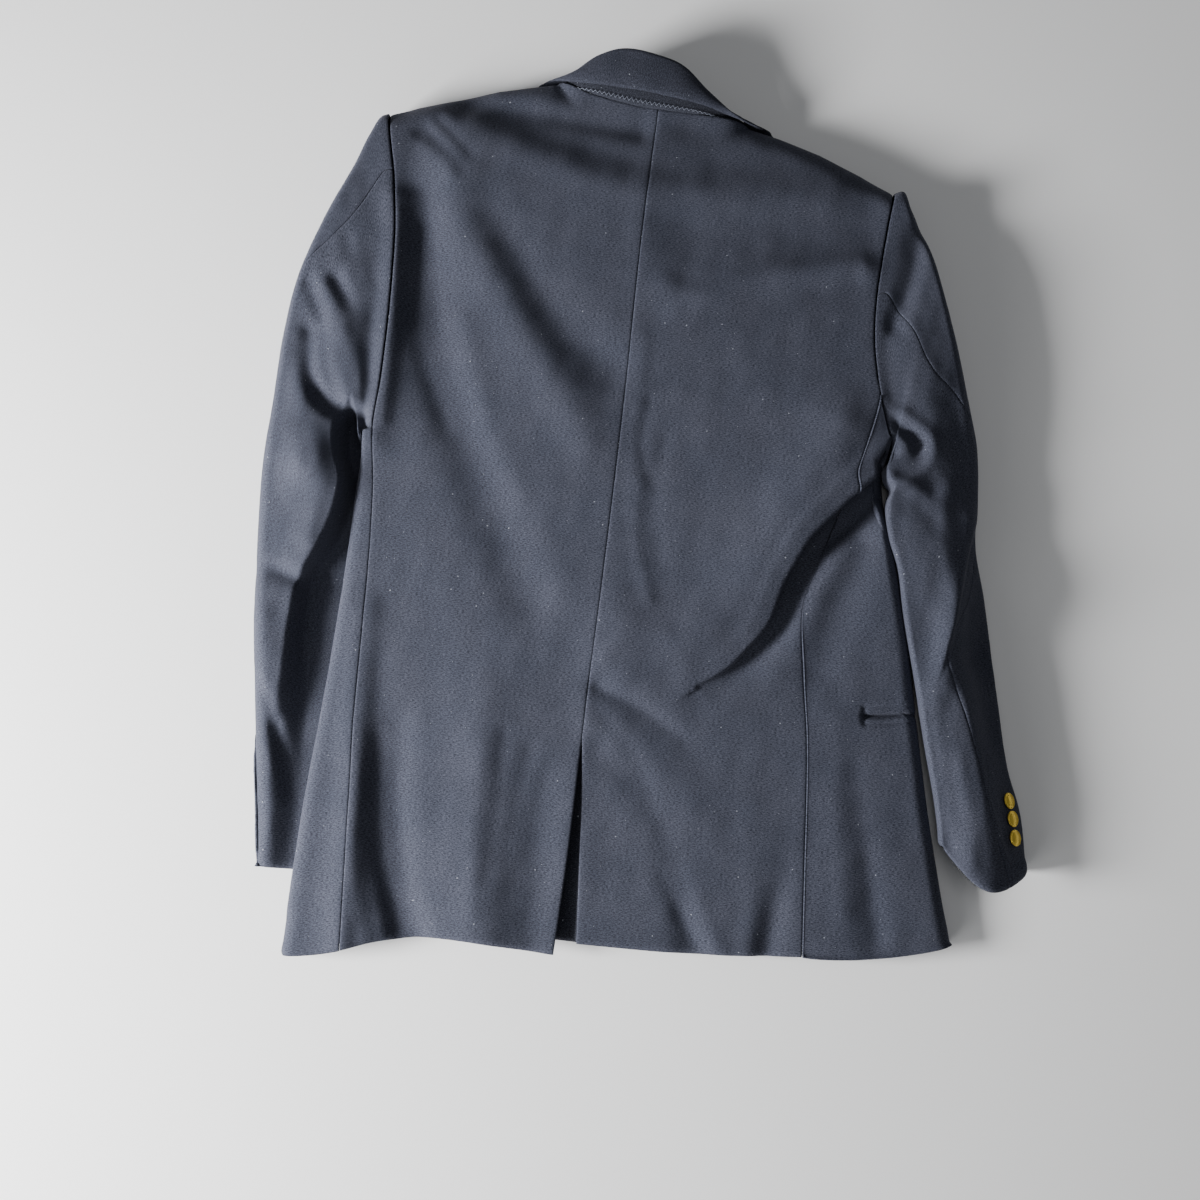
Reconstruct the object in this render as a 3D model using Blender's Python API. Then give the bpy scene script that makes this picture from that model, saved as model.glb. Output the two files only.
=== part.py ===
"""A man's two-button blazer, laid face down on a flat surface with its back up.

Metres, +Z up.  The tables below are in millimetres in the garment's own plan: x runs across
the back from the centre-back seam (x = 0), towards the wearer's right, and y runs up that
seam towards the collar.  PLAN_SHIFT moves the plan so that the origin is the middle of the
whole garment's footprint on the surface.
"""
import math
from collections import namedtuple

import bmesh
import bpy
from mathutils import Vector

MM = 0.001
WALL = 1.8             # cloth wall, with its fusing
SEAM_INSET = 0.4       # each panel stops this far from its seam line
SLEEVE_INSET = 0.9     # the same where a sleeve's seam runs round its edge
SHOULDER_INSET = 0.7
PLAN_SHIFT = (-40.3, -11.5)

EDGE_ROUND = 12.0      # width of the rolled side edges of the body
SHOULDER_ROUND = 26.0  # width of the roll over the shoulders
SHOULDER_MID = 11.0    # height of the shoulder seam
SIDE_MID = 0.55        # height of a rolled side edge, as a share of the body's height there
BUTTON_CLEAR = 0.8     # left front over its own buttons
BUTTON_REACH = 52.0    # how far round a button the left front is lifted
LAPEL_LIFT = 2.2       # fronts lie this far up where a lapel or the collar is under them
COLLAR_UNDER = (-134.0, 142.0)  # from x to x, where the collar's ends lie under the fronts
LIFT_SOFT = 14.0       # the cloth comes down again over this width beside what it lies on
VENT_LIFT = 3.2        # left back over the vent's underlay
POCKET_LIFT = 2.3
OVERLAP_LIFT = 5.2     # right front over left front where they close
SLEEVE_LIFT = 9.4      # body lies on the left sleeve
FRONT_BUTTON = (20.0, 3.6)     # diameter, thickness
CUFF_BUTTON = (14.0, 3.2)
ButtonRow = namedtuple("ButtonRow", "first step inward")    # first and step are shares of the length
CUFF_BUTTONS_RIGHT = ButtonRow(0.870, 0.0285, 0.125)        # inward: a share of the way round
CUFF_BUTTONS_LEFT = ButtonRow(0.89, 0.0218, 12.5)           # inward: from the sleeve's outer edge

SleeveUnder = namedtuple("SleeveUnder", "inner_x low_y high_y")
SLEEVE_UNDER = SleeveUnder(-129, -362, 60)    # where the body lies on the left sleeve

Fold = namedtuple("Fold", "path half_width start end")
Height = namedtuple("Height", "y left middle right")
Girth = namedtuple("Girth", "v outer middle inner")
SleeveRow = namedtuple("SleeveRow", "v outer_x outer_y inner_x inner_y")
CollarRow = namedtuple("CollarRow", "roll edge seam")

# ---------------------------------------------------------------- plan outlines, mm
CENTRE_SEAM = ((0, 380.5), (-1, 250), (1, 100), (1, -60), (0, -150), (0, -188), (0, -195))
VENT_LEFT = ((0, -195), (0, -202), (0, -290), (-2, -377))
VENT_RIGHT = ((0, -195), (1, -202), (6, -246), (10, -296), (16, -366))
VENT_UNDERLAY = 38.0
Under = namedtuple("Under", "out down")      # the underlay, from the right panel's edge
UNDERLAY = (Under(0.3, 2.6), Under(4.0, 4.6), Under(VENT_UNDERLAY * 0.5, 4.8), Under(VENT_UNDERLAY, 5.0))
ARMHOLE_LEFT = ((-243, 350.5), (-237, 323), (-228, 285), (-219, 229), (-214, 154), (-213, 100),
                (-214.5, 52))
SIDE_SEAM_LEFT = ((-214.5, 52), (-207, -9), (-201, -98), (-196, -202), (-190, -270), (-180, -394.5))
EDGE_LEFT = ((-223.5, 49), (-224, -9), (-224, -99), (-226, -179), (-230, -275), (-231, -405))
UNDER_SEAM_LEFT = ((-172, 44), (-168, -100), (-168, -250), (-170, -387))
ARMHOLE_RIGHT = ((220, 328.5), (216, 290), (212, 230), (213, 187), (219, 150), (223, 133))
SIDE_SEAM_RIGHT = ((223, 133), (217, 97), (202, 36), (188, -15), (176, -61), (183, -121), (191, -172),
                   (196, -223), (201, -290), (206, -354))
ARMHOLE_LOW_RIGHT = ((223, 133), (236, 90))
EDGE_RIGHT = ((236, 90), (235, 62), (241, 30), (251, -5), (269, -75), (283, -143), (298, -211),
              (318, -290), (330, -330))
UNDER_SEAM_RIGHT = ((225, 84), (224, 62), (230, 30), (240, -5), (258, -75), (272, -143), (287, -211),
                    (307, -290), (317, -335))
SHOULDER_LEFT = ((-243, 350.5), (-217, 361.5), (-182, 374), (-147, 386.5), (-97, 399.5))
NECK_LEFT = ((-97, 399.5), (-64, 389), (-26, 382.5), (0, 380.5))
NECK_RIGHT = ((0, 380.5), (38, 380), (62, 379), (86, 377))
SHOULDER_RIGHT = ((86, 377), (113, 371), (151, 359.5), (190, 343.5), (220, 328.5))
HEM_BOW_LEFT = 2.0     # how far the side panels' hems hang below a straight line
HEM_BOW_RIGHT = 6.0
HEM_LEFT = ((-180, -394.5), (-153, -384.5), (-124, -377.5), (-90, -375), (-48, -375.5), (-2, -377))
HEM_RIGHT = ((16, -366), (87, -364), (146, -360), (206, -354))

SLEEVE_LEFT = (
    SleeveRow(0.00, -244.5, 351, -216, 51.5), SleeveRow(0.03, -251, 347, -218.5, 51),
    SleeveRow(0.08, -259, 327, -222, 50.5), SleeveRow(0.14, -268.5, 296, -226, 49),
    SleeveRow(0.22, -289, 241, -230, 44), SleeveRow(0.30, -304, 186, -231, 33),
    SleeveRow(0.38, -309.5, 130, -225, 7), SleeveRow(0.46, -310, 72, -212, -30),
    SleeveRow(0.54, -310, 5, -199, -75), SleeveRow(0.62, -305, -55, -188, -118),
    SleeveRow(0.70, -297, -126, -179, -165), SleeveRow(0.80, -286, -195, -170, -220),
    SleeveRow(0.90, -273, -272, -162, -285), SleeveRow(1.00, -262, -335, -156, -331))
SLEEVE_RIGHT = (
    SleeveRow(0.00, 221.5, 329, 236.5, 91), SleeveRow(0.03, 230, 332, 238.5, 90),
    SleeveRow(0.07, 238, 315, 240.5, 88), SleeveRow(0.13, 262, 270, 241, 83),
    SleeveRow(0.21, 284, 208, 240, 72), SleeveRow(0.29, 302, 150, 240, 55),
    SleeveRow(0.37, 316, 101, 242.5, 35), SleeveRow(0.45, 321, 56, 248.5, 12),
    SleeveRow(0.53, 323, 15, 256.5, -18), SleeveRow(0.61, 337, -33, 266.3, -55),
    SleeveRow(0.70, 352, -101, 278, -105), SleeveRow(0.80, 366.5, -169, 291, -163),
    SleeveRow(0.90, 382.5, -214, 304, -212), SleeveRow(1.00, 390.5, -263, 312, -248))
SLEEVE_RIDGE_LEFT = ((-226, 110), (-236, 80), (-247, 50), (-244, 28), (-236, 8), (-238, -26), (-247, -56),
                     (-258, -80), (-262, -120), (-254, -180), (-249, -240), (-246, -290), (-244, -332))
SLEEVE_RIDGE_RIGHT = ((238, 100), (240, 70), (245, 45), (246, 8), (252, -12), (262, -40), (275, -94),
                      (286, -136), (297, -169), (309, -210), (320, -242))
# -------------------------------------------------------- lofts and folds, mm
BACK_LOFT = (
    Height(430, 30, 30, 30), Height(375, 31, 27, 30), Height(320, 36, 36, 35), Height(230, 35, 36, 36),
    Height(110, 33, 33, 38), Height(0, 27, 30, 36), Height(-90, 24, 28, 27), Height(-200, 21, 22, 20),
    Height(-300, 22, 17, 17), Height(-410, 19, 14, 14))

BACK_FOLDS = (
    Fold(((-222, 262), (-214, 116), (-216, 45)), 15, 4, 5),
    Fold(((-203, 272), (-177, 160), (-130, 45), (-62, -80)), 22, -7, -4),
    Fold(((-186, 302), (-135, 222), (-85, 145), (-28, 66)), 24, 7, 4),
    Fold(((-159, 345), (-83, 320), (-8, 306), (100, 312), (165, 322)), 20, 4, 3),
    Fold(((-171, 366), (-88, 361), (-14, 357)), 12, -3, -4),
    Fold(((15, 212), (38, 196), (62, 205), (108, 230), (196, 250)), 15, 4, 3),
    Fold(((206, 50), (174, -38), (150, -88), (124, -124), (88, -140)), 12, -16, -5),
    Fold(((196, 96), (166, 35), (140, -20), (112, -72), (74, -104)), 30, 8, 5),
    Fold(((222, 0), (206, -60), (196, -110)), 18, -6, -3),
    Fold(((22, -88), (26, -126)), 24, 4, 4),
    Fold(((10, -150), (55, -168), (96, -196)), 11, -5, -2),
    Fold(((14, -176), (70, -212), (124, -270)), 15, 3, 1),
    Fold(((16, -205), (63, -242), (104, -316)), 12, -4, -1),
    Fold(((-206, -110), (-192, -250), (-180, -388)), 15, 3, 5),
    Fold(((-160, -205), (-150, -283), (-134, -345), (-120, -377)), 15, -3, -7),
    Fold(((-86, -170), (-76, -290), (-60, -380)), 32, 4, 8),
    Fold(((184, -280), (176, -358)), 11, -1, -4),
    Fold(((96, -300), (112, -364)), 12, -1, -3),
    Fold(((256, -270), (262, -335)), 13, -1, -2),
    Fold(((-206, 334), (-168, 298)), 7, -3, -1))

SLEEVE_FOLDS_LEFT = (
    Fold(((-282, 132), (-275, 92), (-254, 68), (-224, 62)), 9, -9, -13),
    Fold(((-248, 130), (-240, 98)), 18, 5, 3),
    Fold(((-266, 182), (-250, 160)), 8, -4, -2),
    Fold(((-292, 30), (-262, 10)), 24, 4, 6),
    Fold(((-302, -82), (-270, -84), (-240, -98)), 9, -6, -9),
    Fold(((-290, -125), (-268, -180)), 18, 4, 3),
    Fold(((-262, -215), (-238, -270)), 8, -4, -5))
SLEEVE_FOLDS_RIGHT = (
    Fold(((246, 292), (240, 236), (228, 198)), 9, -7, -8),
    Fold(((226, 124), (236, 104), (250, 92)), 8, 3, 5),
    Fold(((252, 112), (276, 52)), 10, -5, -5),
    Fold(((240, 58), (268, 50)), 7, 4, 2),
    Fold(((314, 34), (301, -70), (296, -110)), 13, 5, 6),
    Fold(((330, -90), (345, -150)), 13, -5, -4),
    Fold(((296, -130), (322, -200), (334, -262)), 11, 3, 4))

SLEEVE_GIRTH_LEFT = (
    Girth(0, 34, 34, 30), Girth(0.2, 36, 38, 36), Girth(0.4, 31, 36, 34), Girth(0.6, 27, 31, 30),
    Girth(0.8, 23, 26, 25), Girth(1, 19, 21, 20))
SLEEVE_GIRTH_RIGHT = (
    Girth(0, 34, 36, 34), Girth(0.2, 38, 43, 42), Girth(0.4, 32, 43, 41), Girth(0.6, 26, 40, 38),
    Girth(0.8, 22, 37, 33), Girth(1, 22, 34, 27))
# where the hindarm and forearm seams run, as shares of the way round from the outer edge
HINDARM_LEFT = ((0, 0.15), (0.2, 0.13), (0.36, 0.0), (0.58, -0.12), (1, -0.13))
HINDARM_RIGHT = ((0, 0.23), (0.2, 0.20), (0.4, 0.03), (0.55, 0.08), (0.7, 0.17), (1, 0.075))
FOREARM = ((0, 0.68), (1, 0.62))

# the turned collar: outer face of the fall from roll to edge, and the neck seam it is sewn to
COLLAR = (
    CollarRow((-60, 300, 0), (-116, 278, 0), (-80, 300, 2.4)),
    CollarRow((-70, 340, 0), (-122, 328, 0), (-89, 345, 2.4)),
    CollarRow((-80, 380, 0), (-122, 378, 0), (-96, 383, 3.2)),
    CollarRow((-86, 401, 5), (-112, 402, 5), (-98.5, 399, 6.5)),
    CollarRow((-87, 406, 17), (-102, 402, 16), (-97, 398.6, 13)),
    CollarRow((-79.5, 408, 28), (-88, 398, 26), (-87, 395.6, 19.5)),
    CollarRow((-61, 420, 36), (-64, 394.5, 33.5), (-64, 390.4, 26)),
    CollarRow((-38, 427, 41), (-40, 392.5, 37), (-38, 385.6, 28)),
    CollarRow((-9, 424, 43), (-12, 390.5, 37.5), (-12, 382.6, 28.5)),
    CollarRow((18, 417, 40.5), (18, 387.5, 37), (14, 381.4, 28.5)),
    CollarRow((44, 398, 35), (42, 385, 34), (38, 381.2, 27)),
    CollarRow((66, 388, 29), (62, 381.5, 29), (60, 380.3, 22)),
    CollarRow((80, 385, 24), (80, 377, 27.5), (77, 378.4, 17)),
    CollarRow((91, 382, 11), (105, 376, 12.5), (90, 379, 10)),
    CollarRow((91, 375, 2), (113, 372.5, 3), (98, 371, 4.5)),
    CollarRow((86, 358, 0), (120, 350, 0), (100, 360, 2.8)),
    CollarRow((78, 322, 0), (122, 308, 0), (94, 324, 2.4)),
    CollarRow((70, 284, 0), (118, 260, 0), (88, 284, 2.4)))

# fronts, on the underside: the roll line, front edge and what lies under them
BREAK_Y = -45.0
LAPEL_OUTER_LEFT = ((37, -45), (16, 10), (-10, 62), (-38, 112), (-88, 190), (-128, 246))
ROLL_LEFT = ((38, -45), (-6, 118), (-58, 286))
LAPEL_OUTER_RIGHT = ((0, -45), (26, 30), (64, 104), (104, 178), (136, 230))
ROLL_RIGHT = ((2, -45), (32, 110), (66, 270))
FRONT_EDGE_LEFT = ((-97, 397.5), (-90, 345), (-81, 300), (-60, 287), (-8, 118), (36, -45), (48, -110),
                   (56, -230), (58, -310), (44, -352), (20, -364))
FRONT_EDGE_RIGHT = ((86, 374.5), (96, 330), (89, 284), (68, 270), (34, 110), (4, -45), (6, -110), (16, -230),
                    (26, -310), (42, -345), (70, -356))
FRONT_HEM_LEFT = ((-170, -386), (-124, -373), (-60, -371), (20, -364))
FRONT_HEM_RIGHT = ((314.8, -325), (200, -346), (70, -356))
FRONT_SIDE_LEFT = ARMHOLE_LEFT[:-1] + ((-214, 66), (-172, 48), (-168, -100), (-168, -250), (-170, -386))
FRONT_SIDE_RIGHT = ((220, 328.5), (216, 290), (212, 230), (213, 187), (218, 150), (222, 122), (225, 97),
                    (224, 62), (230, 30), (240, -5), (258, -75), (272, -143), (287, -211), (307, -290),
                    (314.8, -325))
FRONT_BUTTONS = ((24, -62), (36, -170))
POCKET_RIGHT = (239.0, 182.0, -146.5, 0.17)      # back end x, front end x under, y there, rise per mm
WELT_WIDTH = 5.2
WELT_WALL = 1.2
WELT_LIFT = 0.8
WELT_FLOOR = 0.3
POCKET_LEFT = (-166.0, -66.0, -150.0, -143.0)    # x from, x to, y from, y to


# ---------------------------------------------------------------- small maths
def ramp(value):
    """0 to 1 with flat ends."""
    value = min(1.0, max(0.0, value))
    return value * value * (3.0 - 2.0 * value)


def quarter_round(distance, width):
    """Height share of a rolled edge, at a distance in from it."""
    if distance >= width:
        return 1.0
    return math.sqrt(max(0.0, 1.0 - (1.0 - distance / width) ** 2))


def smooth_line(points):
    """A function of 0..1 by length, through the points, as a smooth curve."""
    points = [Vector(p + (0,) * (3 - len(p))) for p in points]
    marks = [0.0]
    for a, b in zip(points, points[1:]):
        marks.append(marks[-1] + (b - a).length)
    slopes = []
    for i in range(len(points)):
        a, b = max(0, i - 1), min(len(points) - 1, i + 1)
        slopes.append((points[b] - points[a]) / (marks[b] - marks[a]))

    def at(t):
        s = min(1.0, max(0.0, t)) * marks[-1]
        i = 0
        while i < len(points) - 2 and s > marks[i + 1]:
            i += 1
        span = marks[i + 1] - marks[i]
        u = (s - marks[i]) / span
        return (points[i] * (2 * u ** 3 - 3 * u ** 2 + 1) + slopes[i] * span * (u ** 3 - 2 * u ** 2 + u)
                + points[i + 1] * (3 * u ** 2 - 2 * u ** 3) + slopes[i + 1] * span * (u ** 3 - u ** 2))

    at.length = marks[-1]
    return at


def table_value(rows, x, column):
    """Smoothly read one column of a table whose first column is rising or falling."""
    if (rows[0][0] - rows[-1][0]) * (rows[0][0] - x) <= 0:
        return rows[0][column]
    for a, b in zip(rows, rows[1:]):
        if (a[0] - x) * (b[0] - x) <= 0:
            return a[column] + (b[column] - a[column]) * (x - a[0]) / (b[0] - a[0])
    return rows[-1][column]


def fold_height(folds, x, y):
    """Sum of the ridges and troughs at a point of the plan."""
    total = 0.0
    for fold in folds:
        best, place = 1e9, 0.0
        pieces = len(fold.path) - 1
        for i, (a, b) in enumerate(zip(fold.path, fold.path[1:])):
            dx, dy = b[0] - a[0], b[1] - a[1]
            t = min(1.0, max(0.0, ((x - a[0]) * dx + (y - a[1]) * dy) / (dx * dx + dy * dy)))
            d = math.hypot(x - a[0] - t * dx, y - a[1] - t * dy)
            if d < best:
                best, place = d, (i + t) / pieces
        if best < 3 * fold.half_width:
            size = fold.start + (fold.end - fold.start) * place
            total += size * math.exp(-(best / fold.half_width) ** 2)
    return total


def x_at(line_points, y):
    """x of a plan line at a height y, straight between its points."""
    for a, b in zip(line_points, line_points[1:]):
        if (a[1] - y) * (b[1] - y) <= 0 and a[1] != b[1]:
            return a[0] + (b[0] - a[0]) * (y - a[1]) / (b[1] - a[1])
    first, last = line_points[0], line_points[-1]
    return first[0] if abs(y - first[1]) < abs(y - last[1]) else last[0]


def y_at(line_points, x):
    """y of a plan line at a place x, straight between its points."""
    for a, b in zip(line_points, line_points[1:]):
        if (a[0] - x) * (b[0] - x) <= 0 and a[0] != b[0]:
            return a[1] + (b[1] - a[1]) * (x - a[0]) / (b[0] - a[0])
    first, last = line_points[0], line_points[-1]
    return first[1] if abs(x - first[0]) < abs(x - last[0]) else last[1]


# ---------------------------------------------------------------- the body's faces
def left_limit(y):
    return x_at(ARMHOLE_LEFT[:-1] + EDGE_LEFT, y)


def right_limit(y):
    return x_at(ARMHOLE_RIGHT[:-1] + ARMHOLE_LOW_RIGHT + EDGE_RIGHT[1:], y)


def shoulder_share(x, y):
    """1 over the back, falling to 0 at the shoulder seams; the neck stays open."""
    if x < NECK_LEFT[0][0]:
        line, end = SHOULDER_LEFT, NECK_LEFT[0][0]
    elif x > NECK_RIGHT[-1][0]:
        line, end = SHOULDER_RIGHT, NECK_RIGHT[-1][0]
    else:
        side = min(x - NECK_LEFT[0][0], NECK_RIGHT[-1][0] - x)
        edge = NECK_LEFT + NECK_RIGHT[1:]
        return max(quarter_round(y_at(edge, x) - y, SHOULDER_ROUND), quarter_round(side, 30.0))
    return quarter_round(y_at(line, x) - y, SHOULDER_ROUND)


def back_loft(x, y):
    """Height of the back's upper face away from its edges."""
    left, middle, right = (table_value(BACK_LOFT, y, k) for k in (1, 2, 3))
    if x < 0:
        base = middle + (left - middle) * ramp(x / left_limit(y))
    else:
        base = middle + (right - middle) * ramp(x / right_limit(y))
    return base + fold_height(BACK_FOLDS, x, y)


def back_face(x, y):
    """Height of the back's upper face, rolled down at the shoulders."""
    low = SHOULDER_MID + SHOULDER_INSET
    return low + (back_loft(x, y) - low) * shoulder_share(x, y)


def zone(value, start, end, soft):
    """1 between start and end, with soft shoulders outside."""
    return ramp((value - start + soft) / soft) * ramp((end + soft - value) / soft)


def lapel_zone(roll, outer, gorge_y, x, y):
    """1 where a lapel or the collar's end lies under the front."""
    if y > gorge_y:
        return zone(x, COLLAR_UNDER[0], COLLAR_UNDER[1], LIFT_SOFT)
    inner, far = x_at(roll, y), x_at(outer, y)
    low, high = min(inner, far), max(inner, far)
    return zone(x, low - LIFT_SOFT, high + LIFT_SOFT, LIFT_SOFT) * ramp((y - BREAK_Y + 40) / 20)


def under_left(x, y):
    """Height of the outer face of the left underside, above the surface it lies on."""
    lift = SLEEVE_LIFT * ramp((SLEEVE_UNDER.inner_x - x) / LIFT_SOFT)
    lift *= zone(y, SLEEVE_UNDER.low_y, SLEEVE_UNDER.high_y, 18)
    lift = max(lift, LAPEL_LIFT * lapel_zone(ROLL_LEFT, LAPEL_OUTER_LEFT, 240, x, y))
    for bx, by in FRONT_BUTTONS:
        away = math.hypot(x - bx, y - by)
        lift = max(lift, (FRONT_BUTTON[1] + BUTTON_CLEAR) * ramp((BUTTON_REACH - away) / 24))
    px0, px1, py0, py1 = POCKET_LEFT
    if px0 - 30 < x:
        pocket = zone(x, px0 - 25, px1 + 25, LIFT_SOFT) * zone(y, py0 - 30, py1 + 30, LIFT_SOFT)
        lift = max(lift, POCKET_LIFT * pocket)
    return lift


def under_right(x, y):
    """The same for the right underside, which lies over the left front where they close."""
    lift = LAPEL_LIFT * lapel_zone(ROLL_RIGHT, LAPEL_OUTER_RIGHT, 225, x, y)
    edge = x_at(FRONT_EDGE_LEFT, y)
    over = (under_left(x, y) + OVERLAP_LIFT) * ramp((edge + 34 - x) / 20) if y < 60 else 0.0
    end, pocket_y = POCKET_RIGHT[1:3]
    pocket = POCKET_LIFT * zone(x, end - 30, 400, 20) * zone(y, pocket_y - 45, pocket_y + 55, 20)
    return max(lift, over, pocket)


def front_face(x, y, under):
    """Height of a front's outer (lower) face, rolled up at the shoulders."""
    high = SHOULDER_MID - SHOULDER_INSET
    return high - (high - under(x, y)) * shoulder_share(x, y)


# ---------------------------------------------------------------- mesh helpers
def cloth_material(name, colour, roughness, metallic=0.0):
    material = bpy.data.materials.new(name)
    material.use_nodes = True
    shader = material.node_tree.nodes["Principled BSDF"]
    shader.inputs["Base Color"].default_value = colour + (1.0,)
    shader.inputs["Roughness"].default_value = roughness
    shader.inputs["Metallic"].default_value = metallic
    return material


def place(point):
    """A plan point in millimetres as a point of the part in metres."""
    return Vector(((point[0] + PLAN_SHIFT[0]) * MM, (point[1] + PLAN_SHIFT[1]) * MM, point[2] * MM))


def add_object(name, bm, material, smooth=True):
    mesh = bpy.data.meshes.new(name)
    bm.to_mesh(mesh)
    bm.free()
    mesh.materials.append(material)
    if smooth:
        mesh.shade_smooth()
    obj = bpy.data.objects.new(name, mesh)
    bpy.context.scene.collection.objects.link(obj)
    return obj


def grid_faces(bm, rows, flip):
    """Quads over rows of points; flip turns their outer side over."""
    verts = [[bm.verts.new(place(p)) for p in row] for row in rows]
    for low, high in zip(verts, verts[1:]):
        for a, b, c, d in zip(low, low[1:], high[1:], high):
            bm.faces.new((a, b, c, d) if flip else (d, c, b, a))
    return verts


def cloth(name, rows, material, flip=False, wall=WALL, extra=None):
    """A cloth wall whose outer face runs through the rows of points."""
    bm = bmesh.new()
    verts = grid_faces(bm, rows, flip)
    if extra:
        extra(bm, verts, flip)
    obj = add_object(name, bm, material)
    solid = obj.modifiers.new("Wall", "SOLIDIFY")
    solid.thickness = wall * MM
    solid.offset = -1.0
    solid.use_even_offset = True
    solid.use_quality_normals = True
    return obj


def plan_patch(side_a, side_b, top, bottom, shares_v, shares_u):
    """Plan points of a four-sided patch between its four edges (a Coons patch)."""
    c00, c10 = side_a(0), side_b(0)
    c01, c11 = side_a(1), side_b(1)
    rows = []
    for v in shares_v:
        row = []
        for u in shares_u:
            across = side_a(v) * (1 - u) + side_b(v) * u
            down = top(u) * (1 - v) + bottom(u) * v
            corners = (c00 * (1 - u) + c10 * u) * (1 - v) + (c01 * (1 - u) + c11 * u) * v
            row.append(across + down - corners)
        rows.append(row)
    return rows


def spread(count, first=(), length=1.0):
    """Shares from 0 to 1: some close to the start, given in millimetres, then even ones."""
    starts = [d / length for d in first]
    begin = starts[-1] if starts else 0.0
    steps = count - len(starts)
    even = [begin + (1 - begin) * i / steps for i in range(1, steps + 1)]
    return (starts or [0.0]) + even


ROLL_STEPS = (0.0, 1.0, 4.0, 9.0, 16.0, 26.0)


def corner_share(points, index):
    """The share of a line's length at one of its points."""
    runs = [math.dist(a[:2], b[:2]) for a, b in zip(points, points[1:])]
    return sum(runs[:index]) / sum(runs)


def stepped_shares(line_length, corners, counts):
    """Shares with the rolled start, then even steps between the corners given."""
    shares = [d / line_length for d in ROLL_STEPS]
    for corner, count in zip(list(corners) + [1.0], counts):
        begin = shares[-1]
        shares += [begin + (corner - begin) * i / count for i in range(1, count + 1)]
    return shares


def inner_shares(shares, inset, length):
    """Pull the first and last shares in by half a seam gap."""
    shares = list(shares)
    shares[0] = inset / length
    shares[-1] = 1 - inset / length
    return shares


# ---------------------------------------------------------------- the pieces
BACK_SIDE_LEFT = ARMHOLE_LEFT + SIDE_SEAM_LEFT[1:]
BACK_SIDE_RIGHT = ARMHOLE_RIGHT + SIDE_SEAM_RIGHT[1:]


def back_shares(side_points, armhole):
    """Rows of a back panel; the side panel beside it uses those below the armhole."""
    low = corner_share(side_points, len(armhole) - 1)
    length = smooth_line(side_points).length
    return stepped_shares(length, (low,), (10, 20))


def side_seam(side_points, armhole):
    """The seam below the armhole, on the back panel's own curve and rows."""
    low = corner_share(side_points, len(armhole) - 1)
    whole = smooth_line(side_points)
    shares = [(v - low) / (1 - low) for v in back_shares(side_points, armhole) if v > low - 1e-6]
    return (lambda t: whole(low + (1 - low) * t)), [max(v, 0.0) for v in shares]


def back_left(material):
    side = smooth_line(BACK_SIDE_LEFT)
    centre = smooth_line(CENTRE_SEAM + VENT_LEFT[1:])
    top = smooth_line(SHOULDER_LEFT + NECK_LEFT[1:])
    bottom = smooth_line(HEM_LEFT)
    shares_v = back_shares(BACK_SIDE_LEFT, ARMHOLE_LEFT)
    shares_u = inner_shares(spread(13), SEAM_INSET, 215)
    plan = plan_patch(side, centre, top, bottom, shares_v, shares_u)
    rows = []
    for row in plan:
        lift = [VENT_LIFT * ramp((VENT_LEFT[0][1] - p.y) / 60) * ramp((p.x + 30) / 30) for p in row]
        rows.append([(p.x, p.y, back_face(p.x, p.y) + up) for p, up in zip(row, lift)])
    return cloth("back_left", rows, material)


def back_right(material):
    side = smooth_line(BACK_SIDE_RIGHT)
    centre = smooth_line(CENTRE_SEAM + VENT_RIGHT[1:])
    top = smooth_line(NECK_RIGHT + SHOULDER_RIGHT[1:])
    bottom = smooth_line(HEM_RIGHT)
    shares_v = back_shares(BACK_SIDE_RIGHT, ARMHOLE_RIGHT)
    shares_u = inner_shares(spread(13), SEAM_INSET, 210)
    plan = plan_patch(centre, side, top, bottom, shares_v, shares_u)
    rows = [[(p.x, p.y, back_face(p.x, p.y)) for p in row] for row in plan]

    def underlay(bm, verts, flip):
        """The extension that runs under the left panel below the vent's top."""
        previous = None
        for row, line in zip(rows, verts):
            x, y, z = row[0]
            if y > VENT_LEFT[0][1] - 5:
                continue
            strip = [line[0]]
            for out, down in UNDERLAY:
                strip.append(bm.verts.new(place((x - out, y, z - down))))
            if previous:
                for a, b, c, d in zip(previous, previous[1:], strip[1:], strip):
                    bm.faces.new((d, c, b, a) if flip else (a, b, c, d))
            previous = strip

    return cloth("back_right", rows, material, extra=underlay)


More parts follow.
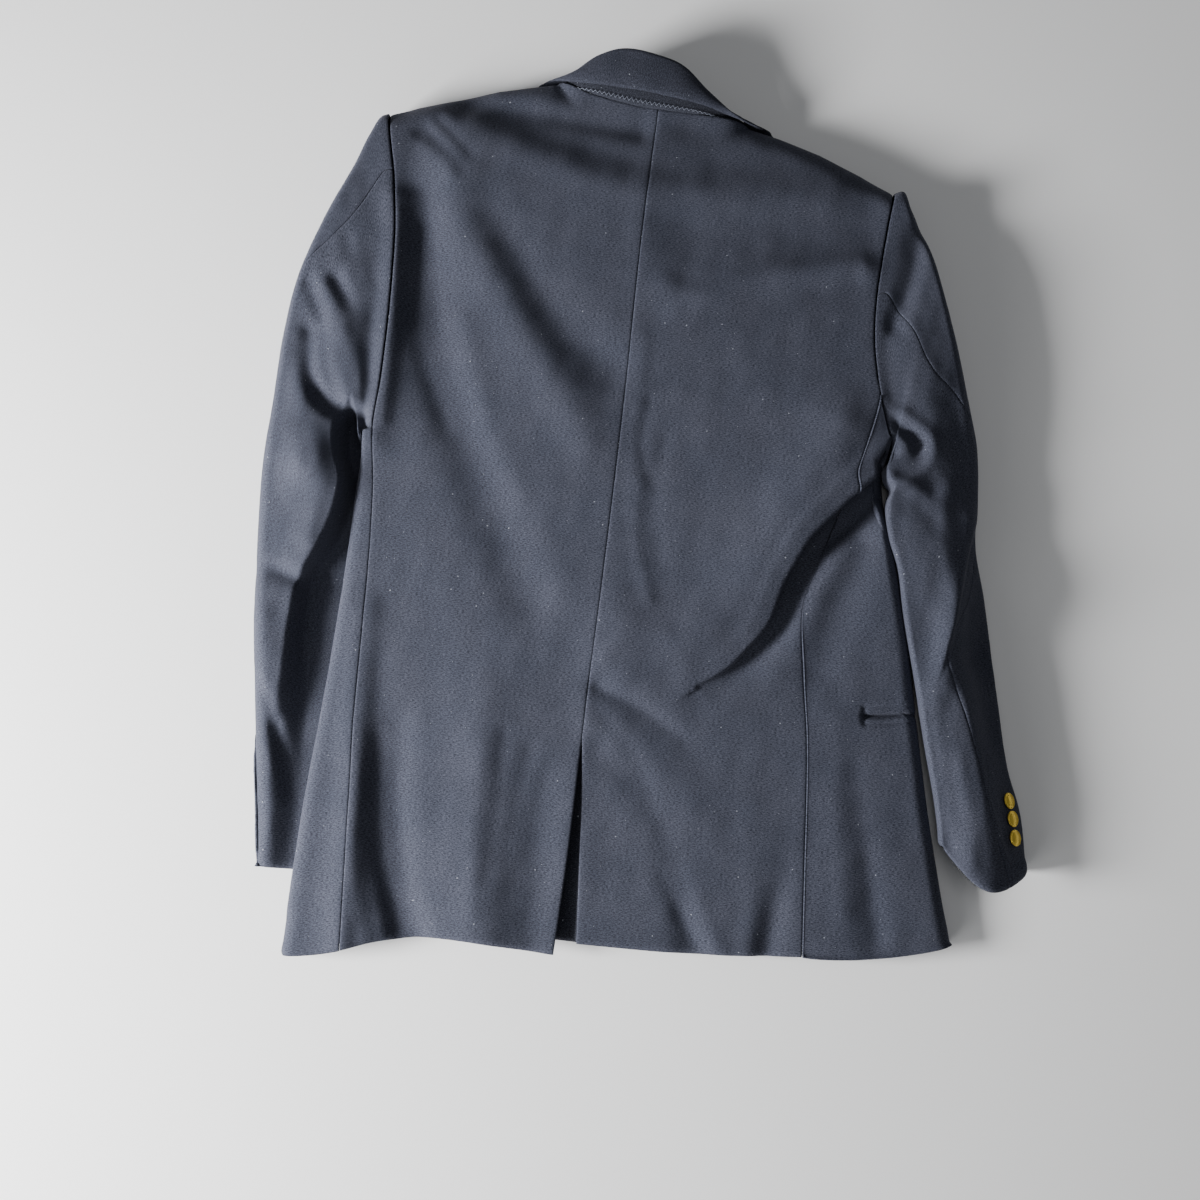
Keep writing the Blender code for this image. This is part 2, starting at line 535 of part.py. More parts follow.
def rolled_rows(seam, edge, under, lift, counts, hem_bow, v_shares):
    """Points of a panel that runs from a seam on top, round a side edge, to the underside."""
    top_inset = SEAM_INSET
    top_count, arc_count, under_count = counts
    rows = []
    for v in v_shares:
        s, e, u = seam(v), edge(v), under(v)
        out = 1.0 if e.x > 0 else -1.0
        top_run, under_run = abs(e.x - s.x), abs(e.x - u.x)
        width = min(EDGE_ROUND, 0.55 * top_run)
        low_width = min(EDGE_ROUND, 0.8 * under_run)
        z_low = lift(e.x - out * low_width, e.y)
        height = back_loft(e.x - out * width, e.y)
        z_mid = z_low + (height - z_low) * (1 - SIDE_MID)
        drop = hem_bow * ramp((v - 0.8) / 0.2)
        row = []
        for i in range(top_count):
            d = top_run - top_inset + (width - top_run + top_inset) * i / top_count
            t = d / top_run
            p = e * (1 - t) + s * t
            p.y -= drop * math.sin(math.pi * t) ** 0.7
            row.append((p.x, p.y, max(back_loft(p.x, p.y), z_mid + 1)))
        for i in range(arc_count + 1):
            angle = math.pi * (0.5 - i / arc_count)
            reach, half = (width, height - z_mid) if angle >= 0 else (low_width, z_mid - z_low)
            d = reach * (1 - math.cos(angle))
            base = s if angle >= 0 else u
            t = d / (top_run if angle >= 0 else under_run)
            p = e * (1 - t) + base * t
            if angle > 0:
                p.y -= drop * math.sin(math.pi * t) ** 0.7
            row.append((e.x - out * d, p.y, z_mid + half * math.sin(angle)))
        for i in range(1, under_count + 1):
            d = low_width + (under_run - SEAM_INSET - low_width) * i / under_count
            t = d / under_run
            p = e * (1 - t) + u * t
            row.append((p.x, p.y, lift(p.x, p.y)))
        rows.append(row)
    return rows


def side_rows_left():
    seam, shares = side_seam(BACK_SIDE_LEFT, ARMHOLE_LEFT)
    return rolled_rows(seam, smooth_line(EDGE_LEFT), smooth_line(UNDER_SEAM_LEFT), under_left, (3, 6, 3),
                       HEM_BOW_LEFT, shares)


def side_rows_right():
    seam, shares = side_seam(BACK_SIDE_RIGHT, ARMHOLE_RIGHT)
    return rolled_rows(seam, smooth_line(EDGE_RIGHT), smooth_line(UNDER_SEAM_RIGHT), under_right, (6, 6, 1),
                       HEM_BOW_RIGHT, shares)


def front(name, side_points, edge_points, top_points, hem_points, under, corners, material):
    """A front panel on the underside, its outer face down, from the side to the front edge."""
    side, edge = smooth_line(side_points), smooth_line(edge_points)
    top, hem = smooth_line(top_points), smooth_line(hem_points)
    marks = [corner_share(side_points, k) for k in corners]
    shares_v = stepped_shares(side.length, marks, (9, 1, 13) if len(corners) == 2 else (9, 14))
    shares_u = inner_shares(spread(11), 2 * SEAM_INSET, 200)
    plan = plan_patch(side, edge, top, hem, shares_v, shares_u)
    rows = [[(p.x, p.y, front_face(p.x, p.y, under)) for p in row] for row in plan]
    return cloth(name, rows, material, flip=edge_points[0][0] > side_points[0][0])


def lapel(name, roll_points, outer_points, start, material):
    """A turned lapel: a flat three-sided piece under its front."""
    roll = smooth_line(tuple(roll_points))
    outer = smooth_line(tuple(outer_points))
    rows = []
    for i in range(13):
        v = start + (0.995 - start) * i / 12
        a, b = roll(v), outer(v)
        rows.append([(*(a * (1 - u) + b * u).xy, 0.0) for u in (0.02, 0.35, 0.7, 0.99)])
    return cloth(name, rows, material, flip=outer_points[-1][0] < roll_points[-1][0], wall=1.5)


LYING = 3.0                          # below this height the collar lies flat under the fronts
STAND_SPAN = (0.30, 0.72)            # the part of the collar's length that has a stand
STAND_FOOT = Vector((0, 0, 0.6))     # over the neck seam
STAND_TOP = Vector((0, 0, 4.6))      # under the roll


def collar_fall(material):
    """The outer collar, from its edge over the roll, and turned in behind it."""
    edge = smooth_line([row.edge for row in COLLAR])
    roll = smooth_line([row.roll for row in COLLAR])
    seam = smooth_line([row.seam for row in COLLAR])
    rows = []
    for i in range(33):
        t = i / 32
        e, r, s = edge(t), roll(t), seam(t)
        inward = (s - r)
        inward.z = 0
        inward.normalize()
        level = ramp((max(s.z, r.z) - LYING) / 6)
        row = [e * (1 - k) + r * k for k in (0.0, 0.3, 0.6, 0.88)]
        row[2] += Vector((0, 0, 1.5 * level))
        row[3] += Vector((0, 0, 0.6 * level))
        row.append(r - Vector((0, 0, 1.0)) * level - inward * 1.2)
        rows.append([(p.x, p.y, max(p.z, 0.0)) for p in row])
    return cloth("collar_fall", rows, material, wall=1.6)


def collar_stand(material):
    """The collar's stand, from the neck seam up inside the fall."""
    roll = smooth_line([row.roll for row in COLLAR])
    seam = smooth_line([row.seam for row in COLLAR])
    rows = []
    first, last = STAND_SPAN
    for i in range(23):
        t = first + (last - first) * i / 22
        low, high = seam(t) + STAND_FOOT, roll(t) - STAND_TOP
        rows.append([tuple(low * (1 - k) + high * k) for k in (0.02, 0.3, 0.6, 0.9)])
    return cloth("collar_stand", rows, material, wall=1.4)


# ---------------------------------------------------------------- sleeves
SleeveShape = namedtuple("SleeveShape", "rows ridge girth folds armhole hindarm side low cuff_dip")


def sleeve_left():
    return SleeveShape(SLEEVE_LEFT, SLEEVE_RIDGE_LEFT, SLEEVE_GIRTH_LEFT, SLEEVE_FOLDS_LEFT, ARMHOLE_LEFT,
                       HINDARM_LEFT, -1, 8.2, 0.0)


def sleeve_right():
    return SleeveShape(SLEEVE_RIGHT, SLEEVE_RIDGE_RIGHT, SLEEVE_GIRTH_RIGHT, SLEEVE_FOLDS_RIGHT,
                       ARMHOLE_RIGHT[:-1] + ARMHOLE_LOW_RIGHT, HINDARM_RIGHT, 1, 9.0, 25.0)


HEAD_SHARE = 0.2       # the share of a sleeve's length over which its rows leave the armhole
BODY_SHARE = 0.16      # and over which its height leaves the back panel's
SLEEVE_GAP = 0.45
FALL_WIDTH = 13.0      # past its ridge a sleeve comes down within this
OUTER_ROUND = {-1: 15.0, 1: 16.0}
INNER_ROUND = 9.0
ROUND_MID = 0.42       # the widest part of a sleeve, as a share of its height
SLEEVE_LEAST = 7.0     # a sleeve pressed flat is this high
SLEEVE_HOLLOW = 4.5    # least height between its two faces
CUFF_LIFT = 4.6        # the left cuff's buttons hold it this far up
CUFF_REACH = 30.0      # over this width from its outer edge


def sleeve_point(shape, v, s):
    """A point of a sleeve's outer face: v down its length, s once round from the outer edge."""
    s = s % 1.0
    on_top = s <= 0.5
    share = s * 2 if on_top else (1 - s) * 2
    q = 0.5 - 0.5 * math.cos(math.pi * share)
    outer = Vector((table_value(shape.rows, v, 1), table_value(shape.rows, v, 2), 0))
    inner = Vector((table_value(shape.rows, v, 3), table_value(shape.rows, v, 4), 0))
    p = outer * (1 - q) + inner * q
    armhole = smooth_line(shape.armhole)
    bow = armhole(q) - (armhole(0) * (1 - q) + armhole(1) * q)
    p = p + bow * (1 - ramp(v / HEAD_SHARE))
    clear = SLEEVE_GAP * (1 - ramp(v / 0.03))
    p.x += shape.side * clear
    if on_top and v > 0.8:
        p.y -= shape.cuff_dip * math.sin(math.pi * q) * ramp((v - 0.8) / 0.2)
    width = (inner - outer).length
    middle = table_value(shape.girth, v, 2)
    crown = table_value(shape.girth, v, 1 if q < 0.5 else 3)
    height = middle + (crown - middle) * ramp(abs(q - 0.5) * 2.4)
    head = 1 - ramp(v / BODY_SHARE)
    if head > 0:
        height = height * (1 - head) + back_loft(p.x, p.y) * head
    height += fold_height(shape.folds, p.x, p.y) * (1 - head)
    # past its ridge the sleeve falls away, low beside and under the body
    ridge_x = x_at(shape.ridge, p.y)
    past = (ridge_x - p.x) * shape.side
    fall = ramp((past + 3) / FALL_WIDTH) * ramp((v - HEAD_SHARE) / 0.12)
    height = height * (1 - fall) + min(height, shape.low) * fall
    height = max(height, SLEEVE_LEAST)
    middle_z = ROUND_MID * height * (1 - head) + SHOULDER_MID * head
    roll = quarter_round(q * width, OUTER_ROUND[shape.side])
    roll *= quarter_round((1 - q) * width, min(INNER_ROUND, height * 0.6))
    if on_top:
        z = middle_z + (height - middle_z) * roll
    else:
        z = middle_z * (1 - roll)
        if shape.side < 0:
            z += CUFF_LIFT * ramp((v - 0.82) / 0.05) * ramp((CUFF_REACH / width - q) / 0.12)
        z = min(z, height - SLEEVE_HOLLOW)
    return Vector((p.x, p.y, z))


HEAD_ROWS = (0.0, 0.015, 0.045, 0.085)
SLEEVE_ROWS = HEAD_ROWS + tuple(HEAD_ROWS[-1] + (1 - HEAD_ROWS[-1]) * i / 22 for i in range(1, 23))


def sleeve_piece(name, shape, start, end, columns, material):
    """Part of a sleeve between two seams; start and end give shares round it for a place v."""
    rows = []
    for v in SLEEVE_ROWS:
        a, b = start(v), end(v)
        line = []
        for i in range(columns + 1):
            s = a + (b - a) * i / columns
            line.append(tuple(sleeve_point(shape, v, s)))
        first, second = Vector(line[0]), Vector(line[1])
        line[0] = tuple(first + (second - first).normalized() * SLEEVE_INSET)
        first, second = Vector(line[-1]), Vector(line[-2])
        line[-1] = tuple(first + (second - first).normalized() * SLEEVE_INSET)
        rows.append(line)
    return cloth(name, rows, material, flip=shape.side > 0)


def sleeves(material):
    for side, shape in (("left", sleeve_left()), ("right", sleeve_right())):
        def hindarm(v, shape=shape):
            return table_value(shape.hindarm, v, 1)

        def forearm(v):
            return table_value(FOREARM, v, 1)

        sleeve_piece("sleeve_under_" + side, shape, hindarm, forearm, 11, material)
        sleeve_piece("sleeve_top_" + side, shape, forearm, lambda v: hindarm(v) + 1.0, 11, material)


# ---------------------------------------------------------------- buttons and welts
def button(name, centre, normal, size, material):
    """A turned metal button: a rim, a shallow dish and a low dome."""
    diameter, thick = size
    radius = diameter / 2
    profile = ((0.0, 0.0), (radius * 0.8, 0.0), (radius, thick * 0.35), (radius * 0.97, thick * 0.75),
               (radius * 0.86, thick * 0.8), (radius * 0.5, thick * 0.97), (0.0, thick))
    bm = bmesh.new()
    bottom = bm.verts.new(Vector((0, 0, 0)))
    top = bm.verts.new(Vector((0, 0, thick * MM)))
    sides = 16
    rings = []
    for r, z in profile[1:-1]:
        rings.append([bm.verts.new(Vector((r * math.cos(2 * math.pi * k / sides) * MM,
                                           r * math.sin(2 * math.pi * k / sides) * MM, z * MM)))
                      for k in range(sides)])
    for k in range(sides):
        n = (k + 1) % sides
        bm.faces.new((bottom, rings[0][n], rings[0][k]))
        bm.faces.new((top, rings[-1][k], rings[-1][n]))
        for low, high in zip(rings, rings[1:]):
            bm.faces.new((low[k], low[n], high[n], high[k]))
    obj = add_object(name, bm, material)
    obj.location = place(centre)
    obj.rotation_euler = Vector((0, 0, 1)).rotation_difference(normal).to_euler()
    return obj


def sleeve_normal(shape, v, s):
    """Outward direction of a sleeve's face."""
    du = sleeve_point(shape, v, s + 0.01) - sleeve_point(shape, v, s - 0.01)
    dv = sleeve_point(shape, v + 0.01, s) - sleeve_point(shape, v - 0.01, s)
    normal = du.cross(dv).normalized()
    return normal if normal.z > 0 or abs(normal.z) < 0.2 and normal.x * shape.side > 0 else -normal


def cuff_buttons(material):
    """Three buttons at each cuff: the right ones on its outer face, the left ones under it."""
    shape = sleeve_right()
    for i in range(3):
        v = CUFF_BUTTONS_RIGHT.first + CUFF_BUTTONS_RIGHT.step * i
        normal = sleeve_normal(shape, v, CUFF_BUTTONS_RIGHT.inward)
        centre = sleeve_point(shape, v, CUFF_BUTTONS_RIGHT.inward) + normal * 0.9
        button("cuff_button_right_%d" % (i + 1), centre, normal, CUFF_BUTTON, material)
    for i in range(3):
        v = CUFF_BUTTONS_LEFT.first + CUFF_BUTTONS_LEFT.step * i
        edge_x, edge_y = table_value(SLEEVE_LEFT, v, 1), table_value(SLEEVE_LEFT, v, 2)
        centre = (edge_x + CUFF_BUTTONS_LEFT.inward, edge_y, CUFF_BUTTON[1] + 0.1)
        button("cuff_button_left_%d" % (i + 1), centre, Vector((0, 0, -1)), CUFF_BUTTON, material)


def front_buttons(material):
    for i, (x, y) in enumerate(FRONT_BUTTONS):
        centre = (x, y, FRONT_BUTTON[1])
        button("front_button_%d" % (i + 1), centre, Vector((0, 0, -1)), FRONT_BUTTON, material)


def right_wrap(y, start, end, rise):
    """Points round the right edge: along the top, round the edge and back under, always rising."""
    lift = WELT_LIFT + WELT_WALL
    edge_y = y + rise * (x_at(EDGE_RIGHT, y) - start)
    edge_x = x_at(EDGE_RIGHT, edge_y)
    turn_x = edge_x - EDGE_ROUND
    low_reach = 0.8 * (edge_x - x_at(UNDER_SEAM_RIGHT, edge_y))
    height = back_loft(turn_x, edge_y)
    low = under_right(turn_x, edge_y)
    middle = low + (height - low) * (1 - SIDE_MID)
    points = []
    for i in range(5):
        x = start + (turn_x - start) * i / 5
        here = y + rise * (x - start)
        points.append((x, here, back_loft(x, here) + lift))
    for i in range(9):
        angle = math.pi * (0.5 - i / 8)
        half, reach = (height - middle, EDGE_ROUND) if angle >= 0 else (middle - low, low_reach)
        out = Vector((math.cos(angle) * half, math.sin(angle) * reach)).normalized() * lift
        x = edge_x - reach * (1 - math.cos(angle))
        here = edge_y + rise * EDGE_ROUND * (i / 4 - 1)
        points.append((x + out.x, here, max(middle + half * math.sin(angle) + out.y, WELT_FLOOR)))
    for i in range(1, 6):
        x = turn_x + (end - turn_x) * i / 5
        points.append((x, edge_y + rise * (edge_x - x), WELT_FLOOR))
    return points


def pocket_welts(material):
    """Two narrow welts for each hip pocket."""
    start, end, y_back, rise = POCKET_RIGHT
    x0, x1, y0, y1 = POCKET_LEFT
    for label, offset in (("upper", 0.3), ("lower", -0.3 - WELT_WIDTH)):
        low = right_wrap(y_back + offset, start, end, rise)
        high = right_wrap(y_back + offset + WELT_WIDTH, start, end, rise)
        cloth("pocket_welt_right_" + label, [high, low], material, wall=WELT_WALL)
        low = [(x0 + (x1 - x0) * i / 6, y0 + (y1 - y0) * i / 6 + offset, 0.0) for i in range(7)]
        high = [(x, y + WELT_WIDTH, z) for x, y, z in low]
        cloth("pocket_welt_left_" + label, [high, low], material, flip=True, wall=WELT_WALL)


def build():
    for obj in list(bpy.data.objects):
        bpy.data.objects.remove(obj, do_unlink=True)
    navy = cloth_material("navy wool", (0.022, 0.026, 0.042), 0.85)
    navy_side = cloth_material("navy wool side", (0.024, 0.028, 0.045), 0.85)
    gold = cloth_material("gilt metal", (0.80, 0.52, 0.14), 0.32, 1.0)
    back_left(navy)
    back_right(navy)
    cloth("side_left", side_rows_left(), navy_side, flip=True)
    cloth("side_right", side_rows_right(), navy_side)
    front("front_left", FRONT_SIDE_LEFT, FRONT_EDGE_LEFT, SHOULDER_LEFT[:-1] + ((-97, 397.5),),
          FRONT_HEM_LEFT, under_left, (6, 7), navy)
    front("front_right", FRONT_SIDE_RIGHT, FRONT_EDGE_RIGHT, tuple(reversed(SHOULDER_RIGHT)),
          FRONT_HEM_RIGHT, under_right, (6,), navy)
    lapel("lapel_left", ROLL_LEFT, LAPEL_OUTER_LEFT, 0.06, navy)
    lapel("lapel_right", ROLL_RIGHT, LAPEL_OUTER_RIGHT, 0.33, navy)
    collar_fall(navy)
    collar_stand(navy)
    sleeves(navy)
    cuff_buttons(gold)
    front_buttons(gold)
    pocket_welts(navy_side)


build()
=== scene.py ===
"""The looks of a navy two-button blazer, laid face down with its back up.

Sizes are in millimetres in the garment's own plan: x runs across the back from the centre-back
seam towards the wearer's right, y runs up that seam to the collar.  PLAN_SHIFT moves the plan so
that the origin is the middle of the garment's footprint; finished pieces are in metres.
"""
import math
from collections import namedtuple

import bmesh
import bpy
import numpy as np
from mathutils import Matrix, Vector


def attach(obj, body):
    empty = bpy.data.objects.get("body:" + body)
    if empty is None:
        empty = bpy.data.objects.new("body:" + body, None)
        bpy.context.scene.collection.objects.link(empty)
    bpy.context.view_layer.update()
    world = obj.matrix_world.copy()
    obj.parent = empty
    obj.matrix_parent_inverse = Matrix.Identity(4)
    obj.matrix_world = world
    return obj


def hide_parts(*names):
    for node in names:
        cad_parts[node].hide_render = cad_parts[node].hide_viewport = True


MM = 0.001
PLAN_SHIFT = (-40.3, -11.5)

# ---------------------------------------------------------------- cloth and seams, mm
WALL = 1.6             # cloth with its fusing
THIN_WALL = 1.3        # the collar's stand
LAPEL_WALL = 1.4
FALL_WALL = 1.5
WELT_WALL = 1.0
SEAM_GAP = 0.08        # half the gap that shows as the line of a seam
SEAM_DIP = 0.45        # how far a panel's edge turns down into its seam
SEAM_SOFT = 0.7        # over what distance
ALLOWANCE_RISE = 0.35  # the pressed-open allowance under each seam lifts the cloth beside it
ALLOWANCE_WIDTH = 8.0
HEM_DIP = 1.6
HEM_SOFT = 1.8
GRID = 2.8             # between the lines of a panel's mesh
FINE_GRID = 1.6        # the same where a crease runs
SLEEVE_GRID = 2.2
COLLAR_GRID = 2.2
FRONT_GRID = 4.0       # on the underside
EDGE_STEPS = (0.0, 0.3, 0.65, 1.1, 1.8, 3.2, 5.4)
SHOULDER_STEPS = (0.0, 0.3, 0.9, 1.8, 3.0, 4.6, 6.6, 9.0, 11.8, 15.0, 18.6, 22.4, 26.0)

EDGE_ROUND = 12.0
SHOULDER_ROUND = 26.0
SHOULDER_MID = 11.0    # height of the shoulder seams
SIDE_MID = 0.55        # how far down the side edges lie, as a share
# how far the underside is lifted over what lies beneath it
LAPEL_LIFT = 2.2
POCKET_LIFT = 2.3
OVERLAP_LIFT = 5.2
SLEEVE_LIFT = 9.4
BUTTON_CLEAR = 0.8
VENT_LIFT = 3.2        # of the left vent edge over the underlay
FRONT_BUTTON = (20.0, 3.6)     # diameter, thickness
CUFF_BUTTON = (14.0, 3.2)

Fold = namedtuple("Fold", "path half_width start end")
# a crease that the cloth hangs over; its two sides are named looking along the path
Crease = namedtuple("Crease", "path right_width left_width start end hang")
Height = namedtuple("Height", "y left middle right")
Girth = namedtuple("Girth", "v outer middle inner")
SleeveRow = namedtuple("SleeveRow", "v outer_x outer_y inner_x inner_y")
CollarRow = namedtuple("CollarRow", "roll edge seam")

# ---------------------------------------------------------------- plan outlines, mm
CENTRE_SEAM = ((0, 380.5), (-1, 250), (1, 100), (1, -60), (0, -150), (0, -188), (0, -195))
VENT_LEFT = ((0, -195), (0, -202), (0, -290), (-2, -377))
VENT_RIGHT = ((0, -195), (1, -202), (6, -246), (10, -296), (16, -366))
VENT_UNDERLAY = 38.0
ARMHOLE_LEFT = ((-243, 350.5), (-237, 323), (-228, 285), (-219, 229), (-214, 154), (-213, 100), (-214.5, 52))
SIDE_SEAM_LEFT = ((-214.5, 52), (-207, -9), (-201, -98), (-196, -202), (-190, -270), (-180, -394.5))
EDGE_LEFT = ((-223.5, 49), (-224, -9), (-224, -99), (-226, -179), (-230, -275), (-231, -405))
UNDER_SEAM_LEFT = ((-172, 44), (-168, -100), (-168, -250), (-170, -387))
ARMHOLE_RIGHT = ((220, 328.5), (216, 290), (212, 230), (213, 187), (219, 150), (223, 133))
SIDE_SEAM_RIGHT = ((223, 133), (217, 97), (202, 36), (188, -15), (176, -61), (183, -121), (191, -172),
                   (196, -223), (201, -290), (206, -354))
ARMHOLE_LOW_RIGHT = ((223, 133), (236, 90))
EDGE_RIGHT = ((236, 90), (235, 62), (241, 30), (251, -5), (269, -75), (283, -143), (298, -211),
              (318, -290), (330, -330))
UNDER_SEAM_RIGHT = ((225, 84), (224, 62), (230, 30), (240, -5), (258, -75), (272, -143), (287, -211),
                    (307, -290), (317, -335))
SHOULDER_LEFT = ((-243, 350.5), (-217, 361.5), (-182, 374), (-147, 386.5), (-97, 399.5))
NECK_LEFT = ((-97, 399.5), (-64, 389), (-26, 382.5), (0, 380.5))
NECK_RIGHT = ((0, 380.5), (38, 380), (62, 379), (86, 377))
SHOULDER_RIGHT = ((86, 377), (113, 371), (151, 359.5), (190, 343.5), (220, 328.5))
HEM_LEFT = ((-180, -394.5), (-153, -384.5), (-124, -377.5), (-90, -375), (-48, -375.5), (-2, -377))
HEM_RIGHT = ((16, -366), (87, -364), (146, -360), (206, -354))

SLEEVE_LEFT = (
    SleeveRow(0.00, -244.5, 351, -216, 51.5), SleeveRow(0.03, -251, 347, -218.5, 51),
    SleeveRow(0.08, -259, 327, -222, 50.5), SleeveRow(0.14, -268.5, 296, -224, 49),
    SleeveRow(0.22, -289, 241, -226, 44), SleeveRow(0.30, -304, 186, -221, 30),
    SleeveRow(0.38, -309.5, 130, -225, 7), SleeveRow(0.46, -310, 72, -212, -30),
    SleeveRow(0.54, -310, 5, -199, -75), SleeveRow(0.62, -305, -55, -188, -118),
    SleeveRow(0.70, -297, -126, -179, -165), SleeveRow(0.80, -286, -195, -170, -220),
    SleeveRow(0.90, -273, -272, -162, -285), SleeveRow(1.00, -262, -335, -156, -331))
SLEEVE_RIGHT = (
    SleeveRow(0.00, 221.5, 329, 236.5, 91), SleeveRow(0.03, 230, 332, 238.5, 90),
    SleeveRow(0.07, 238, 315, 241, 87.5), SleeveRow(0.13, 262, 270, 240, 79),
    SleeveRow(0.18, 276, 231, 234, 68), SleeveRow(0.22, 287, 200, 236, 58),
    SleeveRow(0.26, 296, 171, 241, 50), SleeveRow(0.30, 304, 144, 239, 42),
    SleeveRow(0.37, 316, 101, 238.5, 28), SleeveRow(0.45, 321, 56, 243.5, 6),
    SleeveRow(0.53, 323, 15, 253.5, -19), SleeveRow(0.61, 337, -33, 262, -57),
    SleeveRow(0.70, 352, -101, 275.5, -105), SleeveRow(0.80, 366.5, -169, 290.5, -163),
    SleeveRow(0.90, 382.5, -214, 304, -212), SleeveRow(1.00, 390.5, -263, 312, -248))
SLEEVE_RIDGE_LEFT = ((-226, 110), (-236, 80), (-247, 50), (-244, 28), (-236, 8), (-238, -26), (-247, -56),
                     (-258, -80), (-262, -120), (-254, -180), (-249, -240), (-246, -290), (-244, -332))
# -------------------------------------------------------- lofts and folds, mm
BACK_LOFT = (
    Height(430, 30, 30, 30), Height(375, 31, 27, 30), Height(320, 36, 36, 35), Height(230, 35, 36, 36),
    Height(110, 33, 33, 38), Height(0, 27, 30, 36), Height(-90, 24, 28, 27), Height(-200, 21, 22, 20),
    Height(-300, 22, 17, 17), Height(-410, 19, 14, 14))

BACK_FOLDS = (
    Fold(((-222, 262), (-214, 116), (-216, 45)), 15, 4, 5),
    Fold(((-203, 272), (-177, 160), (-130, 45), (-62, -80)), 22, -7, -4),
    Fold(((-186, 302), (-135, 222), (-85, 145), (-28, 66)), 24, 7, 4),
    Fold(((-159, 345), (-83, 320), (-8, 306), (100, 312), (165, 322)), 20, 4, 3),
    Fold(((-171, 366), (-88, 361), (-14, 357)), 12, -3, -4),
    Fold(((15, 212), (38, 196), (62, 205), (108, 230), (196, 250)), 15, 4, 3),
    Fold(((196, 96), (166, 35), (140, -20), (112, -72), (74, -104)), 30, 8, 5),
    Fold(((222, 0), (206, -60), (196, -110)), 18, -6, -3),
    Fold(((22, -88), (26, -126)), 24, 4, 4),
    Fold(((10, -150), (55, -168), (96, -196)), 11, -5, -2),
    Fold(((14, -176), (70, -212), (124, -270)), 15, 3, 1),
    Fold(((16, -205), (63, -242), (104, -316)), 12, -4, -1),
    Fold(((-206, -110), (-192, -250), (-180, -388)), 15, 3, 5),
    Fold(((-160, -205), (-150, -283), (-134, -345), (-120, -377)), 15, -3, -7),
    Fold(((-86, -170), (-76, -290), (-60, -380)), 32, 4, 8),
    Fold(((184, -280), (176, -358)), 11, -1, -4),
    Fold(((96, -300), (112, -364)), 12, -1, -3),
    Fold(((256, -270), (262, -335)), 13, -1, -2),
    Fold(((-206, 334), (-168, 298)), 7, -3, -1))

SLEEVE_FOLDS_LEFT = (
    Fold(((-282, 132), (-275, 92), (-254, 68), (-224, 62)), 9, -9, -13),
    Fold(((-248, 130), (-240, 98)), 18, 5, 3),
    Fold(((-266, 182), (-250, 160)), 8, -4, -2),
    Fold(((-292, 30), (-262, 10)), 24, 4, 6),
    Fold(((-302, -82), (-270, -84), (-240, -98)), 9, -6, -9),
    Fold(((-290, -125), (-268, -180)), 18, 4, 3),
    Fold(((-262, -215), (-238, -270)), 8, -4, -5))
SLEEVE_FOLDS_RIGHT = (
    Fold(((246, 292), (240, 236), (228, 198)), 9, -7, -8),
    Fold(((226, 124), (236, 104), (250, 92)), 8, 3, 5),
    Fold(((252, 112), (276, 52)), 10, -5, -5),
    Fold(((240, 58), (268, 50)), 7, 4, 2),
    Fold(((314, 34), (301, -70), (296, -110)), 13, 5, 6),
    Fold(((330, -90), (345, -150)), 13, -5, -4),
    Fold(((296, -130), (322, -200), (334, -262)), 11, 3, 4))

SLEEVE_GIRTH_LEFT = (
    Girth(0, 34, 34, 30), Girth(0.2, 36, 38, 36), Girth(0.4, 31, 36, 34), Girth(0.6, 27, 31, 30),
    Girth(0.8, 21, 22, 22), Girth(1, 16, 17, 17))
SLEEVE_GIRTH_RIGHT = (
    Girth(0, 34, 36, 34), Girth(0.2, 38, 43, 42), Girth(0.4, 32, 43, 41), Girth(0.6, 26, 40, 38),
    Girth(0.8, 22, 37, 33), Girth(1, 22, 34, 27))
# where the hindarm and forearm seams run, as shares of the way round from the outer edge
HINDARM_LEFT = ((0, 0.15), (0.2, 0.13), (0.36, 0.0), (0.58, -0.12), (1, -0.13))
HINDARM_RIGHT = ((0, 0.23), (0.2, 0.20), (0.4, 0.03), (0.52, 0.05), (0.6, 0.16), (0.67, 0.29), (0.71, 0.282),
                 (0.75, 0.255), (0.8, 0.235), (0.88, 0.222), (1, 0.155))
FOREARM = ((0, 0.68), (1, 0.62))

